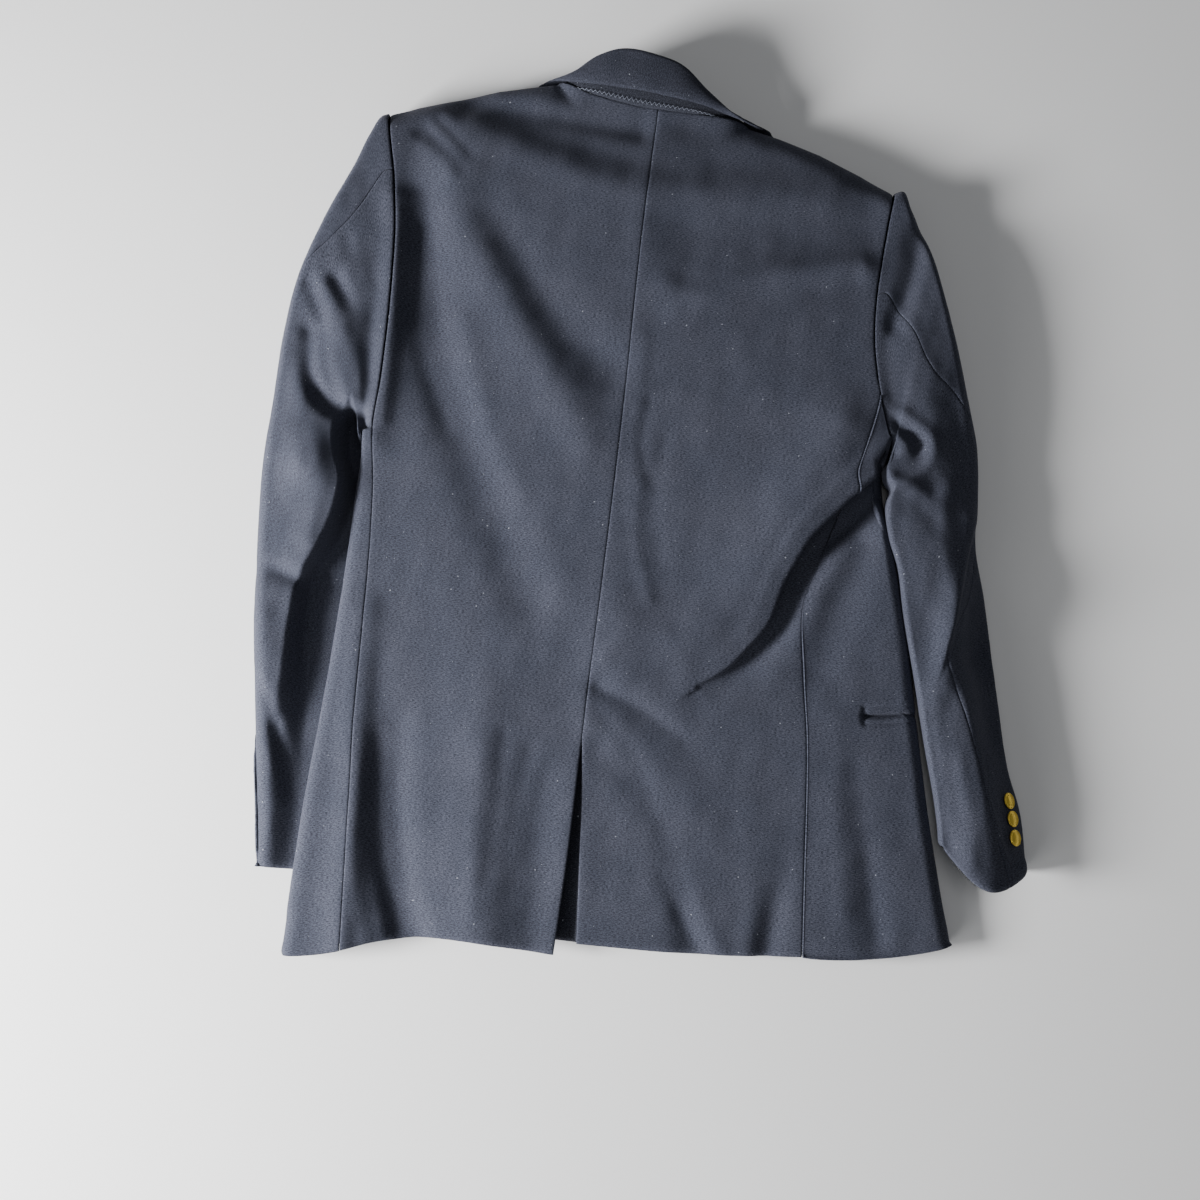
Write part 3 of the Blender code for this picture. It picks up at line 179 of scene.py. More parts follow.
# the turned collar: outer face of the fall from roll to edge, and the neck seam it is sewn to
COLLAR = (
    CollarRow((-60, 300, 0), (-116, 278, 0), (-80, 300, 2.4)),
    CollarRow((-70, 340, 0), (-122, 328, 0), (-89, 345, 2.4)),
    CollarRow((-80, 380, 0), (-122, 378, 0), (-96, 383, 3.2)),
    CollarRow((-86, 401, 5), (-112, 402, 5), (-98.5, 399, 6.5)),
    CollarRow((-87, 406, 17), (-102, 402, 16), (-97, 398.6, 13)),
    CollarRow((-79.5, 408, 28), (-88, 398, 26), (-87, 395.6, 19.5)),
    CollarRow((-61, 420, 36), (-64, 394.5, 33.5), (-64, 390.4, 26)),
    CollarRow((-38, 427, 41), (-40, 392.5, 37), (-38, 385.6, 28)),
    CollarRow((-9, 424, 43), (-12, 390.5, 37.5), (-12, 382.6, 28.5)),
    CollarRow((18, 417, 40.5), (18, 387.5, 37), (14, 381.4, 28.5)),
    CollarRow((44, 398, 35), (42, 385, 34), (38, 381.2, 27)),
    CollarRow((65, 385.5, 29), (62, 381.5, 29), (60, 380.3, 22)),
    CollarRow((78, 382, 24), (80, 377, 27.5), (77, 378.4, 17)),
    CollarRow((88, 379, 11), (105, 376, 12.5), (90, 379, 10)),
    CollarRow((91, 375, 2), (113, 372.5, 3), (98, 371, 4.5)),
    CollarRow((86, 358, 0), (120, 350, 0), (100, 360, 2.8)),
    CollarRow((78, 322, 0), (122, 308, 0), (94, 324, 2.4)),
    CollarRow((70, 284, 0), (118, 260, 0), (88, 284, 2.4)))

# fronts, on the underside: the roll line, front edge and what lies under them
BREAK_Y = -45.0
LAPEL_OUTER_LEFT = ((37, -45), (16, 10), (-10, 62), (-38, 112), (-88, 190), (-128, 246))
ROLL_LEFT = ((38, -45), (-6, 118), (-58, 286))
LAPEL_OUTER_RIGHT = ((0, -45), (26, 30), (64, 104), (104, 178), (136, 230))
ROLL_RIGHT = ((2, -45), (32, 110), (66, 270))
FRONT_EDGE_LEFT = ((-97, 397.5), (-90, 345), (-81, 300), (-60, 287), (-8, 118), (36, -45), (48, -110),
                   (56, -230), (58, -310), (44, -352), (20, -364))
FRONT_EDGE_RIGHT = ((86, 375.5), (96, 330), (89, 284), (68, 270), (34, 110), (4, -45), (6, -110), (16, -230),
                    (26, -310), (42, -345), (70, -356))
FRONT_HEM_LEFT = ((-170, -386), (-124, -373), (-60, -371), (20, -364))
FRONT_HEM_RIGHT = ((314.8, -325), (200, -346), (70, -356))
FRONT_SIDE_LEFT = ARMHOLE_LEFT[:-1] + ((-214, 66), (-172, 48), (-168, -100), (-168, -250), (-170, -386))
FRONT_SIDE_RIGHT = ((220, 328.5), (216, 290), (212, 230), (213, 187), (218, 150), (222, 122), (225, 97),
                    (224, 62), (230, 30), (240, -5), (258, -75), (272, -143), (287, -211), (307, -290),
                    (314.8, -325))
FRONT_BUTTONS = ((24, -62), (36, -170))
POCKET_RIGHT = (239.0, 182.0, -146.5, 0.17)      # back end x, front end x under, y there, rise per mm
WELT_WIDTH = 5.2
WELT_PART = 0.9        # half the slit between the welts
WELT_LIFT = 1.2
WELT_FLOOR = 0.3
POCKET_LEFT = (-166.0, -66.0, -150.0, -143.0)    # x from, x to, y from, y to

# folds that only the finished cloth has
FINE_BACK_FOLDS = (
    Fold(((-200, 306), (-158, 268), (-105, 212), (-58, 157), (-13, 132)), 21, -4.5, -3.0),
    Fold(((-196, 343), (-162, 312)), 6, -2.2, -0.8),
    Fold(((-214, 330), (-186, 298)), 6, -1.6, -0.8),
    Fold(((-205, 318), (-176, 288)), 6, 1.6, 0.6),
    Fold(((-170, 356), (-84, 330), (-9, 312), (100, 314), (188, 326)), 18, -2.6, -2.0),
    Fold(((-92, 388), (-16, 368), (40, 362)), 15, -1.4, -1.0),
    Fold(((28, 212), (57, 205), (108, 226), (195, 250)), 11, 1.0, 1.8),
    Fold(((13, 213), (32, 202)), 13, -2.6, -1.4),
    Fold(((30, 194), (60, 188), (108, 208), (190, 236)), 12, -0.6, -1.4),
    Fold(((-218, 250), (-209, 150), (-206, 60)), 6, 1.2, 1.6),
    Fold(((-202, 240), (-188, 140), (-150, 60)), 9, -1.8, -1.2),
    Fold(((-150, 160), (-116, 70), (-80, 10)), 12, 1.4, 0.8),
    Fold(((24, 105), (20, 69), (32, 34)), 6, -0.9, -0.5),
    Fold(((41, 72), (38, 18), (48, -34)), 7, -0.8, -0.5),
    Fold(((23, 34), (26, -19), (44, -70)), 6, 0.9, 0.7),
    Fold(((12, 160), (14, 90), (16, 10)), 7, 0.8, 0.8),
    Fold(((10, -150), (55, -168), (96, -196)), 11, 2.8, 1.2),
    Fold(((14, -176), (70, -212), (124, -270)), 15, -1.4, -0.4),
    Fold(((16, -205), (63, -242), (104, -316)), 12, 3.0, 0.8),
    Fold(((8, -149), (47, -163), (86, -184)), 5, -1.0, -0.5),
    Fold(((10, -170), (46, -203), (76, -262)), 7, -0.8, -0.4),
    Fold(((12, -120), (30, -104), (60, -96)), 9, 1.2, 0.6),
    Fold(((80, -300), (100, -330), (122, -362)), 7, -0.6, -1.6),
    Fold(((104, -300), (124, -335), (140, -362)), 8, 0.4, 1.2),
    Fold(((150, -262), (158, -310), (160, -360)), 10, 0.5, 1.2),
    Fold(((-33, -205), (-38, -251), (-43, -300)), 7, 0.6, 0.2),
    Fold(((-44, -210), (-50, -255), (-54, -300)), 8, -0.6, -0.2),
    Fold(((-67, -195), (-65, -255), (-65, -320)), 7, -0.9, -0.5),
    Fold(((-84, -210), (-82, -280), (-74, -350)), 8, 0.8, 0.9),
    Fold(((-174, -214), (-164, -292), (-136, -374)), 8, -2.2, -3.2),
    Fold(((-186, -240), (-180, -310), (-160, -384)), 8, 0.8, 1.6),
    Fold(((-193, -100), (-186, -200), (-180, -300)), 7, 0.9, 0.6),
    Fold(((-170, 366), (-84, 340), (-9, 326), (100, 330), (188, 338)), 20, -3.0, -3.0),
    Fold(((46, 262), (110, 272), (196, 288)), 30, -3.5, -3.0),
    Fold(((239, -146.5), (262, -142.6), (286, -138.5)), 3.0, -6.0, -6.0),
    Fold(((240, -153.5), (262, -149.6), (286, -145.8)), 2.0, -1.2, -1.2),
    Fold(((238, -139.5), (262, -135.6), (286, -131.8)), 2.0, -1.2, -1.2),
    Fold(((237.5, -153), (236.5, -140)), 2.0, -1.2, -1.2),
    Fold(((214, -150), (222, -220), (236, -310)), 10, 0.8, 1.2),
    Fold(((236, -190), (250, -260), (270, -330)), 9, -0.6, -1.2))

BACK_CREASES = (
    Crease(((256, 104), (242, 86), (220, 59), (198, 32), (174, 1), (163, -24), (156, -43), (148, -78),
            (135, -99), (118, -122), (95, -139)), 2.8, 15.0, -21.0, -2.0, 9.0),)
CREASE_FLOOR = 30.0    # how wide a crease's bottom is at its start; it narrows along it
CREASE_FOOT = 2.0      # and how wide it stays
LIP_RISE = 0.14        # how far its lip rises, as a share of its depth
LIP_WIDTH = 8.0
LIP_PLACE = 1.3        # how far back the lip is highest, in its widths
HANG_PLACE = 2.0       # where the cloth hangs out most and how widely, in the crease's right widths
HANG_WIDTH = 1.1
# lines across the right sleeve past which the cloth lies lower: the drop at the line, and the
# further drop beyond it with the width that it takes
Step = namedtuple("Step", "path drop slope width fade")
SLEEVE_STEPS = (
    Step(((326, 44), (317, 28), (307, -29), (298.5, -83), (289.5, -123)), 4.5, 0.0, 4.0, 0.35),
    Step(((326, 44), (312, -29), (302, -85), (318, -119), (335, -165), (345, -200), (364, -244), (372, -262)),
         1.5, 9.0, 40.0, 0.02))
STEP_WIDTH = 4.0       # of the drop at the line
STEP_START = 0.08      # the share of a line over which it sets in

FINE_LEFT_FOLDS = (
    Fold(((-290, 178), (-271, 138), (-262, 100), (-243, 70), (-218, 61)), 7, -2.0, -2.5),
    Fold(((-282, 132), (-275, 92), (-254, 68), (-224, 62)), 9, 3.5, 3.5),
    Fold(((-276, 176), (-256, 146), (-240, 116), (-226, 92)), 10, 1.2, 1.4),
    Fold(((-248, 130), (-240, 98)), 18, -3.6, -2.2),
    Fold(((-248, 196), (-228, 170)), 8, 1.0, 0.6),
    Fold(((-262, 222), (-246, 188)), 7, -1.0, -0.6),
    Fold(((-222, 210), (-226, 150)), 7, -1.2, -0.8),
    Fold(((-240, 74), (-222, 70)), 5, 1.8, 1.8),
    Fold(((-278, 120), (-284, 60), (-272, 10)), 12, 1.5, 2.2),
    Fold(((-262, 40), (-252, 0), (-258, -50)), 9, 1.2, 1.6),
    Fold(((-302, -82), (-270, -84), (-240, -98)), 9, 3.2, 4.2),
    Fold(((-292, -76), (-264, -86), (-240, -98)), 6, -1.2, -1.6),
    Fold(((-300, -100), (-270, -106)), 9, 1.2, 0.6),
    Fold(((-286, -150), (-270, -210), (-262, -270)), 12, 1.0, 0.8),
    Fold(((-290, -170), (-272, -196), (-256, -236)), 6, -1.6, -1.2),
    Fold(((-282, -262), (-262, -300)), 7, -0.8, -0.5))
FINE_RIGHT_FOLDS = (
    Fold(((224, 121), (244.5, 116.6), (265.6, 102), (271.6, 89.3), (268, 72), (255, 59.6), (241, 49)),
         6.5, 3.2, 2.6),
    Fold(((238, 108), (250, 100), (258, 90)), 7, -5.5, -4.5),
    Fold(((245, 84), (266, 90)), 4.0, 2.5, 0.5),
    Fold(((252, 112), (276, 52)), 10, 3.0, 2.5),
    Fold(((285, 70), (272, 52), (256, 34)), 8, -1.6, -1.0),
    Fold(((234, 281), (228, 224), (221, 181)), 7, -2.2, -1.8),
    Fold(((248, 270), (244, 220), (240, 180)), 10, 1.2, 1.0),
    Fold(((270, 230), (286, 180), (300, 140)), 12, 1.0, 0.6),
    Fold(((262, 20), (270, -20), (282, -60)), 12, 1.4, 1.0),
    Fold(((268, 36), (292, 10)), 8, -1.0, -0.5),
    Fold(((282, -60), (290, -100), (300, -140)), 9, -1.2, -0.8),
    Fold(((300, -140), (312, -180), (326, -236)), 7, -1.2, -1.5),
    Fold(((292, -120), (304, -170), (320, -230)), 7, 1.2, 1.2),
    Fold(((330, -120), (346, -170), (366, -226)), 9, 0.8, 0.6))
UNDER_FOLDS = (
    Fold(((-150, 200), (-120, 60), (-110, -80)), 22, 1.2, 0.6),
    Fold(((-60, 120), (-50, -20), (-70, -160)), 18, 0.9, 1.4),
    Fold(((90, 160), (110, 20), (100, -120)), 20, 1.3, 0.7),
    Fold(((180, 100), (170, -60), (190, -240)), 22, 0.8, 1.5),
    Fold(((-120, -200), (-96, -300), (-90, -372)), 16, 0.8, 1.6),
    Fold(((130, -180), (120, -280), (140, -350)), 15, 0.7, 1.5))


# ---------------------------------------------------------------- small maths
def ramp(value):
    """0 to 1 with flat ends."""
    value = np.clip(value, 0.0, 1.0)
    return value * value * (3.0 - 2.0 * value)


def quarter_round(distance, width):
    """Height share of a rolled edge, at a distance in from it."""
    return np.sqrt(np.clip(1.0 - (1.0 - np.clip(distance / width, 0.0, 1.0)) ** 2, 0.0, 1.0))


def follow(x, xs, ys):
    """Read a table at x along a smooth line through its points; xs rise or fall."""
    xs, ys = np.asarray(xs, float), np.asarray(ys, float)
    if xs[0] > xs[-1]:
        xs, ys = xs[::-1], ys[::-1]
    x = np.clip(x, xs[0], xs[-1])
    slopes = np.gradient(ys, xs)
    i = np.clip(np.searchsorted(xs, x, side="right") - 1, 0, len(xs) - 2)
    span = xs[i + 1] - xs[i]
    u = (x - xs[i]) / span
    return (ys[i] * (2 * u ** 3 - 3 * u ** 2 + 1) + slopes[i] * span * (u ** 3 - 2 * u ** 2 + u)
            + ys[i + 1] * (3 * u ** 2 - 2 * u ** 3) + slopes[i + 1] * span * (u ** 3 - u ** 2))


def column(rows, x, index):
    return follow(x, [row[0] for row in rows], [row[index] for row in rows])


def x_at(line, y):
    """x of a plan line at a height y."""
    return np.interp(y, [p[1] for p in reversed(line)], [p[0] for p in reversed(line)])


def y_at(line, x):
    return np.interp(x, [p[0] for p in line], [p[1] for p in line])


def curve(points):
    """A function of 0..1 by length, along a smooth curve through the points."""
    points = np.array([tuple(p) + (0.0,) * (3 - len(p)) for p in points])
    marks = np.concatenate(([0.0], np.cumsum(np.linalg.norm(np.diff(points, axis=0), axis=1))))
    order = np.arange(len(points))
    low, high = np.maximum(order - 1, 0), np.minimum(order + 1, len(points) - 1)
    slopes = (points[high] - points[low]) / (marks[high] - marks[low])[:, None]

    def at(t):
        s = np.clip(t, 0.0, 1.0) * marks[-1]
        i = np.clip(np.searchsorted(marks, s, side="left") - 1, 0, len(points) - 2)
        span = (marks[i + 1] - marks[i])[..., None]
        u = (s - marks[i])[..., None] / span
        return (points[i] * (2 * u ** 3 - 3 * u ** 2 + 1) + slopes[i] * span * (u ** 3 - 2 * u ** 2 + u)
                + points[i + 1] * (3 * u ** 2 - 2 * u ** 3) + slopes[i + 1] * span * (u ** 3 - u ** 2))

    at.length = marks[-1]
    return at


def fold_height(folds, x, y):
    """Sum of the ridges and troughs at points of the plan."""
    total = np.zeros(np.broadcast(x, y).shape)
    for fold in folds:
        path = curve(fold.path)(np.linspace(0.0, 1.0, 3 * len(fold.path)))
        best = np.full(total.shape, 1e9)
        place = np.zeros(total.shape)
        for i, (a, b) in enumerate(zip(path, path[1:])):
            dx, dy = b[0] - a[0], b[1] - a[1]
            t = np.clip(((x - a[0]) * dx + (y - a[1]) * dy) / (dx * dx + dy * dy), 0.0, 1.0)
            d = np.hypot(x - a[0] - t * dx, y - a[1] - t * dy)
            nearer = d < best
            best = np.where(nearer, d, best)
            place = np.where(nearer, (i + t) / (len(path) - 1), place)
        total += (fold.start + (fold.end - fold.start) * place) * np.exp(-(best / fold.half_width) ** 2)
    return total


def beside(crease, x, y):
    """Signed distance from a crease, positive on its left; the place along it; its left direction."""
    path = curve(crease.path)(np.linspace(0.0, 1.0, 5 * len(crease.path)))
    shape = np.broadcast(x, y).shape
    best, signed, place = np.full(shape, 1e9), np.zeros(shape), np.zeros(shape)
    left = np.zeros(shape + (2,))
    for i, (a, b) in enumerate(zip(path, path[1:])):
        dx, dy = b[0] - a[0], b[1] - a[1]
        length = math.hypot(dx, dy)
        t = np.clip(((x - a[0]) * dx + (y - a[1]) * dy) / length ** 2, 0.0, 1.0)
        d = np.hypot(x - a[0] - t * dx, y - a[1] - t * dy)
        side = np.where(dx * (y - a[1]) - dy * (x - a[0]) > 0, 1.0, -1.0)
        nearer = d < best
        best = np.where(nearer, d, best)
        signed = np.where(nearer, d * side, signed)
        place = np.where(nearer, (i + t) / (len(path) - 1), place)
        left = np.where(nearer[..., None], np.array([-dy, dx]) / length, left)
    return signed, place, left


def crease_height(creases, x, y):
    """Troughs that are steep on one side, as where the cloth hangs over."""
    total = np.zeros(np.broadcast(x, y).shape)
    for crease in creases:
        away, place, _ = beside(crease, x, y)
        depth = crease.start + (crease.end - crease.start) * place ** 2
        past_floor = np.maximum(away - CREASE_FLOOR * (1 - place) ** 2 - CREASE_FOOT, 0.0)
        soft = np.exp(-(past_floor / crease.left_width) ** 2)
        trough = np.where(away > 0, soft, np.exp(-(away / crease.right_width) ** 2))
        total += depth * (trough - LIP_RISE * np.exp(-((away + LIP_PLACE * LIP_WIDTH) / LIP_WIDTH) ** 2))
    return total


def step_height(steps, x, y):
    """Drops in height past the left of each line."""
    total = np.zeros(np.broadcast(x, y).shape)
    for step in steps:
        away, place, _ = beside(step, x, y)
        fade = ramp((1 - place) / step.fade) * ramp(place / STEP_START)
        total -= (step.drop * ramp(away / STEP_WIDTH) + step.slope * ramp(away / step.width)) * fade
    return total


def crease_hang(creases, x, y):
    """How far the lip of each crease hangs out over its trough, in x and y."""
    total = np.zeros(np.broadcast(x, y).shape + (2,))
    for crease in creases:
        away, place, left = beside(crease, x, y)
        reach = crease.hang * (1 - (1 - crease.end / crease.start) * place ** 2)
        away = away / crease.right_width
        reach = reach * np.exp(-((away + HANG_PLACE) / HANG_WIDTH) ** 2)
        total += reach[..., None] * left
    return total


def ripple(x, y, size, seed):
    """Low uneven waves, about one high, with a wavelength near size."""
    dice = np.random.RandomState(seed)
    total = 0.0
    for _ in range(9):
        angle, phase, length = dice.uniform(0, math.pi), dice.uniform(0, 7), size * dice.uniform(0.7, 1.6)
        total = total + np.sin((x * math.cos(angle) + y * math.sin(angle)) * 2 * math.pi / length + phase)
    return total / 3.0


def zone(value, start, end, soft):
    """1 between start and end, with soft shoulders outside."""
    return ramp((value - start + soft) / soft) * ramp((end + soft - value) / soft)


def share_at(points, index):
    """The share of a line's length at one of its points."""
    runs = [math.dist(a[:2], b[:2]) for a, b in zip(points, points[1:])]
    return sum(runs[:index]) / sum(runs)


def spaced(length, first=EDGE_STEPS, last=EDGE_STEPS, gap=GRID, fine=None):
    """Places along a length: close together at its ends, and between the two ends of a fine stretch."""
    marks = np.linspace(first[-1], length - last[-1], 1500)
    density = np.full(marks.shape, 1.0 / gap)
    if fine:
        density += (1.0 / FINE_GRID - 1.0 / gap) * zone(marks, fine[0], fine[1], 20.0)
    run = np.concatenate(([0.0], np.cumsum((density[1:] + density[:-1]) / 2 * np.diff(marks))))
    count = max(1, round(run[-1]))
    middle = np.interp(run[-1] * np.arange(1, count) / count, run, marks)
    return np.concatenate((first, middle, [length - d for d in reversed(last)]))


# ---------------------------------------------------------------- heights of the faces
BODY_LEFT = ARMHOLE_LEFT[:-1] + EDGE_LEFT
BODY_RIGHT = ARMHOLE_RIGHT[:-1] + ARMHOLE_LOW_RIGHT + EDGE_RIGHT[1:]


def shoulder_share(x, y):
    """1 over the back, falling to 0 at the shoulder seams; the neck stays open."""
    first, last = NECK_LEFT[0][0], NECK_RIGHT[-1][0]
    left = quarter_round(y_at(SHOULDER_LEFT, x) - y, SHOULDER_ROUND)
    right = quarter_round(y_at(SHOULDER_RIGHT, x) - y, SHOULDER_ROUND)
    neck = np.maximum(quarter_round(y_at(NECK_LEFT + NECK_RIGHT[1:], x) - y, SHOULDER_ROUND),
                      quarter_round(np.minimum(x - first, last - x), 30.0))
    return np.where(x < first, left, np.where(x > last, right, neck))


def back_loft(x, y):
    """Height of the back's upper face away from its edges."""
    left, middle, right = (column(BACK_LOFT, y, k) for k in (1, 2, 3))
    base = np.where(x < 0, middle + (left - middle) * ramp(x / x_at(BODY_LEFT, y)),
                    middle + (right - middle) * ramp(x / x_at(BODY_RIGHT, y)))
    waves = 0.35 * ripple(x, y, 70, 3) + 0.14 * ripple(x, y, 26, 4)
    return (base + fold_height(BACK_FOLDS, x, y) + fold_height(FINE_BACK_FOLDS, x, y)
            + crease_height(BACK_CREASES, x, y) + waves)


def back_face(x, y):
    low = SHOULDER_MID + 0.4
    return low + (back_loft(x, y) - low) * shoulder_share(x, y)


def hung(points, share=1.0):
    """Points of the back with the lip of each crease hung over."""
    shift = crease_hang(BACK_CREASES, points[..., 0], points[..., 1]) * np.asarray(share)[..., None]
    return np.dstack((points[..., 0] + shift[..., 0], points[..., 1] + shift[..., 1], points[..., 2]))


def lapel_zone(roll, outer, gorge_y, x, y):
    """1 where a lapel or the collar's end lies under the front."""
    above = ramp((152 - np.abs(x - 4)) / 14)
    inner, far = x_at(roll, y), x_at(outer, y)
    low, high = np.minimum(inner, far), np.maximum(inner, far)
    below = zone(x, low - 14, high + 14, 14) * ramp((y - BREAK_Y + 40) / 20)
    return np.where(y > gorge_y, above, below)


def under_left(x, y):
    """Height of the outer face of the left underside."""
    lift = SLEEVE_LIFT * ramp((-129 - x) / 14) * zone(y, -362, 60, 18)
    lift = np.maximum(lift, LAPEL_LIFT * lapel_zone(ROLL_LEFT, LAPEL_OUTER_LEFT, 240, x, y))
    for bx, by in FRONT_BUTTONS:
        away = np.hypot(x - bx, y - by)
        lift = np.maximum(lift, (FRONT_BUTTON[1] + BUTTON_CLEAR) * ramp((52 - away) / 24))
    px0, px1, py0, py1 = POCKET_LEFT
    pocket = POCKET_LIFT * zone(x, px0 - 25, px1 + 25, 14) * zone(y, py0 - 30, py1 + 30, 14)
    return np.maximum(lift, pocket * (x > px0 - 30))


def under_right(x, y):
    """The same for the right underside, which lies over the left front where they close."""
    lift = LAPEL_LIFT * lapel_zone(ROLL_RIGHT, LAPEL_OUTER_RIGHT, 225, x, y)
    over = (under_left(x, y) + OVERLAP_LIFT) * ramp((x_at(FRONT_EDGE_LEFT, y) + 34 - x) / 20) * (y < 60)
    pocket = POCKET_LIFT * zone(x, 150, 400, 20) * zone(y, -190, -90, 20)
    return np.maximum(np.maximum(lift, over), pocket)


def front_face(x, y, under):
    """Height of a front's outer (lower) face, rolled up at the shoulders."""
    high = SHOULDER_MID - 0.4
    soft = np.clip(fold_height(UNDER_FOLDS, x, y), 0.0, None)
    return high - (high - under(x, y) - soft) * shoulder_share(x, y)


# ---------------------------------------------------------------- making cloth
def placed(name, data):
    obj = bpy.data.objects.new(name, data)
    bpy.context.scene.collection.objects.link(obj)
    return obj


def finished(name, bm, material):
    """An object from a bmesh, which is freed."""
    mesh = bpy.data.meshes.new(name)
    bm.to_mesh(mesh)
    bm.free()
    mesh.materials.append(material)
    mesh.shade_smooth()
    return placed(name, mesh)


def run_along(points, axis):
    """Distance run along rows or columns of a grid of points."""
    steps = np.linalg.norm(np.diff(points, axis=axis), axis=2)
    pad = [(0, 0), (0, 0)]
    pad[axis] = (1, 0)
    return np.cumsum(np.pad(steps, pad), axis=axis)


def face_normals(points):
    across, down = np.gradient(points, axis=1), np.gradient(points, axis=0)
    normal = np.cross(across, down)
    return normal / np.maximum(np.linalg.norm(normal, axis=2, keepdims=True), 1e-9)


def turn_edges(points, outward, edges):
    """Turn the edges of a face in; edges gives the dip, softness and rise of its four sides."""
    along, down = run_along(points, 1), run_along(points, 0)
    far_along, far_down = along[:, -1:] - along, down[-1:, :] - down
    fall = np.zeros(points.shape[:2])
    for distance, edge in zip((along, far_along, down, far_down), edges):
        if edge:
            dip, soft, rise = edge
            fall += dip * np.exp(-(distance / soft) ** 1.5)
            fall -= rise * np.exp(-((distance - ALLOWANCE_WIDTH * 0.4) / ALLOWANCE_WIDTH) ** 2)
    return points - outward * fall[..., None]


SEAM = (SEAM_DIP, SEAM_SOFT, ALLOWANCE_RISE)
HEM = (HEM_DIP, HEM_SOFT, 0.5)
FREE = (0.8, 1.4, 0.3)
WELT_EDGE = (1.4, 0.9, 0.0)


def cloth(name, points, up_at, material, edges=(SEAM, SEAM, SEAM, HEM), wall=WALL, up=1.0, plan_grain=False):
    """A cloth shell through a grid of points; up_at is a place on it that faces up (or down, up=-1)."""
    if face_normals(points)[up_at][2] * up < 0:
        points = points[:, ::-1]
        edges = (edges[1], edges[0], edges[2], edges[3])
    points = turn_edges(points, face_normals(points), edges)
    high, wide = points.shape[:2]
    bm = bmesh.new()
    bmesh.ops.create_grid(bm, x_segments=wide - 1, y_segments=high - 1, size=0.5, calc_uvs=True)
    across, along = run_along(points, 1), run_along(points, 0)
    along = np.broadcast_to(along.mean(axis=1, keepdims=True), across.shape)
    if plan_grain:
        across, along = points[..., 0], points[..., 1]
    grain = bm.loops.layers.uv.verify()
    ready = (points[..., :2] + np.array(PLAN_SHIFT)) * MM
    for vert in bm.verts:
        i = round((vert.co.x + 0.5) * (wide - 1))
        j = round((vert.co.y + 0.5) * (high - 1))
        vert.co = (*ready[j, i], points[j, i, 2] * MM)
        for loop in vert.link_loops:
            loop[grain].uv = (across[j, i] * MM, along[j, i] * MM)
    obj = finished(name, bm, material)
    solid = obj.modifiers.new("wall", "SOLIDIFY")
    solid.thickness = wall * MM
    solid.offset = -1.0
    solid.use_quality_normals = True
    return obj


def coons(side_a, side_b, top, bottom, v, u):
    """Plan points of a four-sided patch between its four edges."""
    a, b = side_a(v)[:, None], side_b(v)[:, None]
    t, s = top(u)[None], bottom(u)[None]
    ends = np.array([0.0, 1.0])
    (a0, a1), (b0, b1) = side_a(ends), side_b(ends)
    v, u = v[:, None, None], u[None, :, None]
    corners = (a0 * (1 - u) + b0 * u) * (1 - v) + (a1 * (1 - u) + b1 * u) * v
    return a * (1 - u) + b * u + t * (1 - v) + s * v - corners


def with_height(plan, heights):
    return np.dstack((plan[..., 0], plan[..., 1], heights))


def respace(dense, first=EDGE_STEPS, last=EDGE_STEPS, gap=GRID):
    """Space the points of each row of a dense grid by the distance run over the cloth."""
    runs = run_along(dense, 1)
    shares = spaced(runs[:, -1].mean(), first, last, gap) / runs[:, -1].mean()
    rows = [np.column_stack([np.interp(shares * run[-1], run, row[:, k]) for k in range(3)])
            for run, row in zip(runs, dense)]
    return np.array(rows)


# ---------------------------------------------------------------- the body's panels
BACK_SIDE_LEFT = ARMHOLE_LEFT + SIDE_SEAM_LEFT[1:]
BACK_SIDE_RIGHT = ARMHOLE_RIGHT + SIDE_SEAM_RIGHT[1:]


def down_shares(length, fine=None, gap=GRID):
    return np.concatenate(([SEAM_GAP], spaced(length, SHOULDER_STEPS, gap=gap, fine=fine)[1:])) / length


def across_shares(length, fine=None, gap=GRID):
    places = spaced(length, gap=gap, fine=fine)
    places[0], places[-1] = SEAM_GAP, length - SEAM_GAP
    return places / length


def back_left(material):
    side = curve(BACK_SIDE_LEFT)
    plan = coons(side, curve(CENTRE_SEAM + VENT_LEFT[1:]), curve(SHOULDER_LEFT + NECK_LEFT[1:]),
                 curve(HEM_LEFT), down_shares(side.length), across_shares(215.0))
    x, y = plan[..., 0], plan[..., 1]
    over_vent = VENT_LIFT * ramp((-195 - y) / 60) * ramp((x + 30) / 30)
    return cloth("back_left_panel", with_height(plan, back_face(x, y) + over_vent), (100, 30), material,
                 plan_grain=True)


def back_right(material):
    side = curve(BACK_SIDE_RIGHT)
    plan = coons(curve(CENTRE_SEAM + VENT_RIGHT[1:]), side, curve(NECK_RIGHT + SHOULDER_RIGHT[1:]),
                 curve(HEM_RIGHT), down_shares(side.length, (225, 485)), across_shares(210.0, (92, 205)))
    points = hung(with_height(plan, back_face(plan[..., 0], plan[..., 1])))
    return cloth("back_right_panel", points, (100, 30), material, plan_grain=True)


def vent_underlay(material):
    """The right panel's extension, under the left panel below the vent's top."""
    y = np.linspace(-203.0, -365.2, 60)[:, None]
    out = spaced(VENT_UNDERLAY, (0.0, 1.0, 2.4), EDGE_STEPS)[None, :]
    edge = x_at(VENT_RIGHT, y)
    drop = np.interp(out, (0.0, 1.0, 4.0, VENT_UNDERLAY * 0.5, VENT_UNDERLAY), (1.0, 3.2, 6.2, 6.6, 6.8))
    x = edge - out + 0.8
    z = back_face(np.broadcast_to(edge, x.shape), np.broadcast_to(y, x.shape)) - drop
    return cloth("vent_underlay", np.dstack((x, np.broadcast_to(y, x.shape), z)), (30, 8), material,
                 edges=(None, FREE, None, HEM), plan_grain=True)


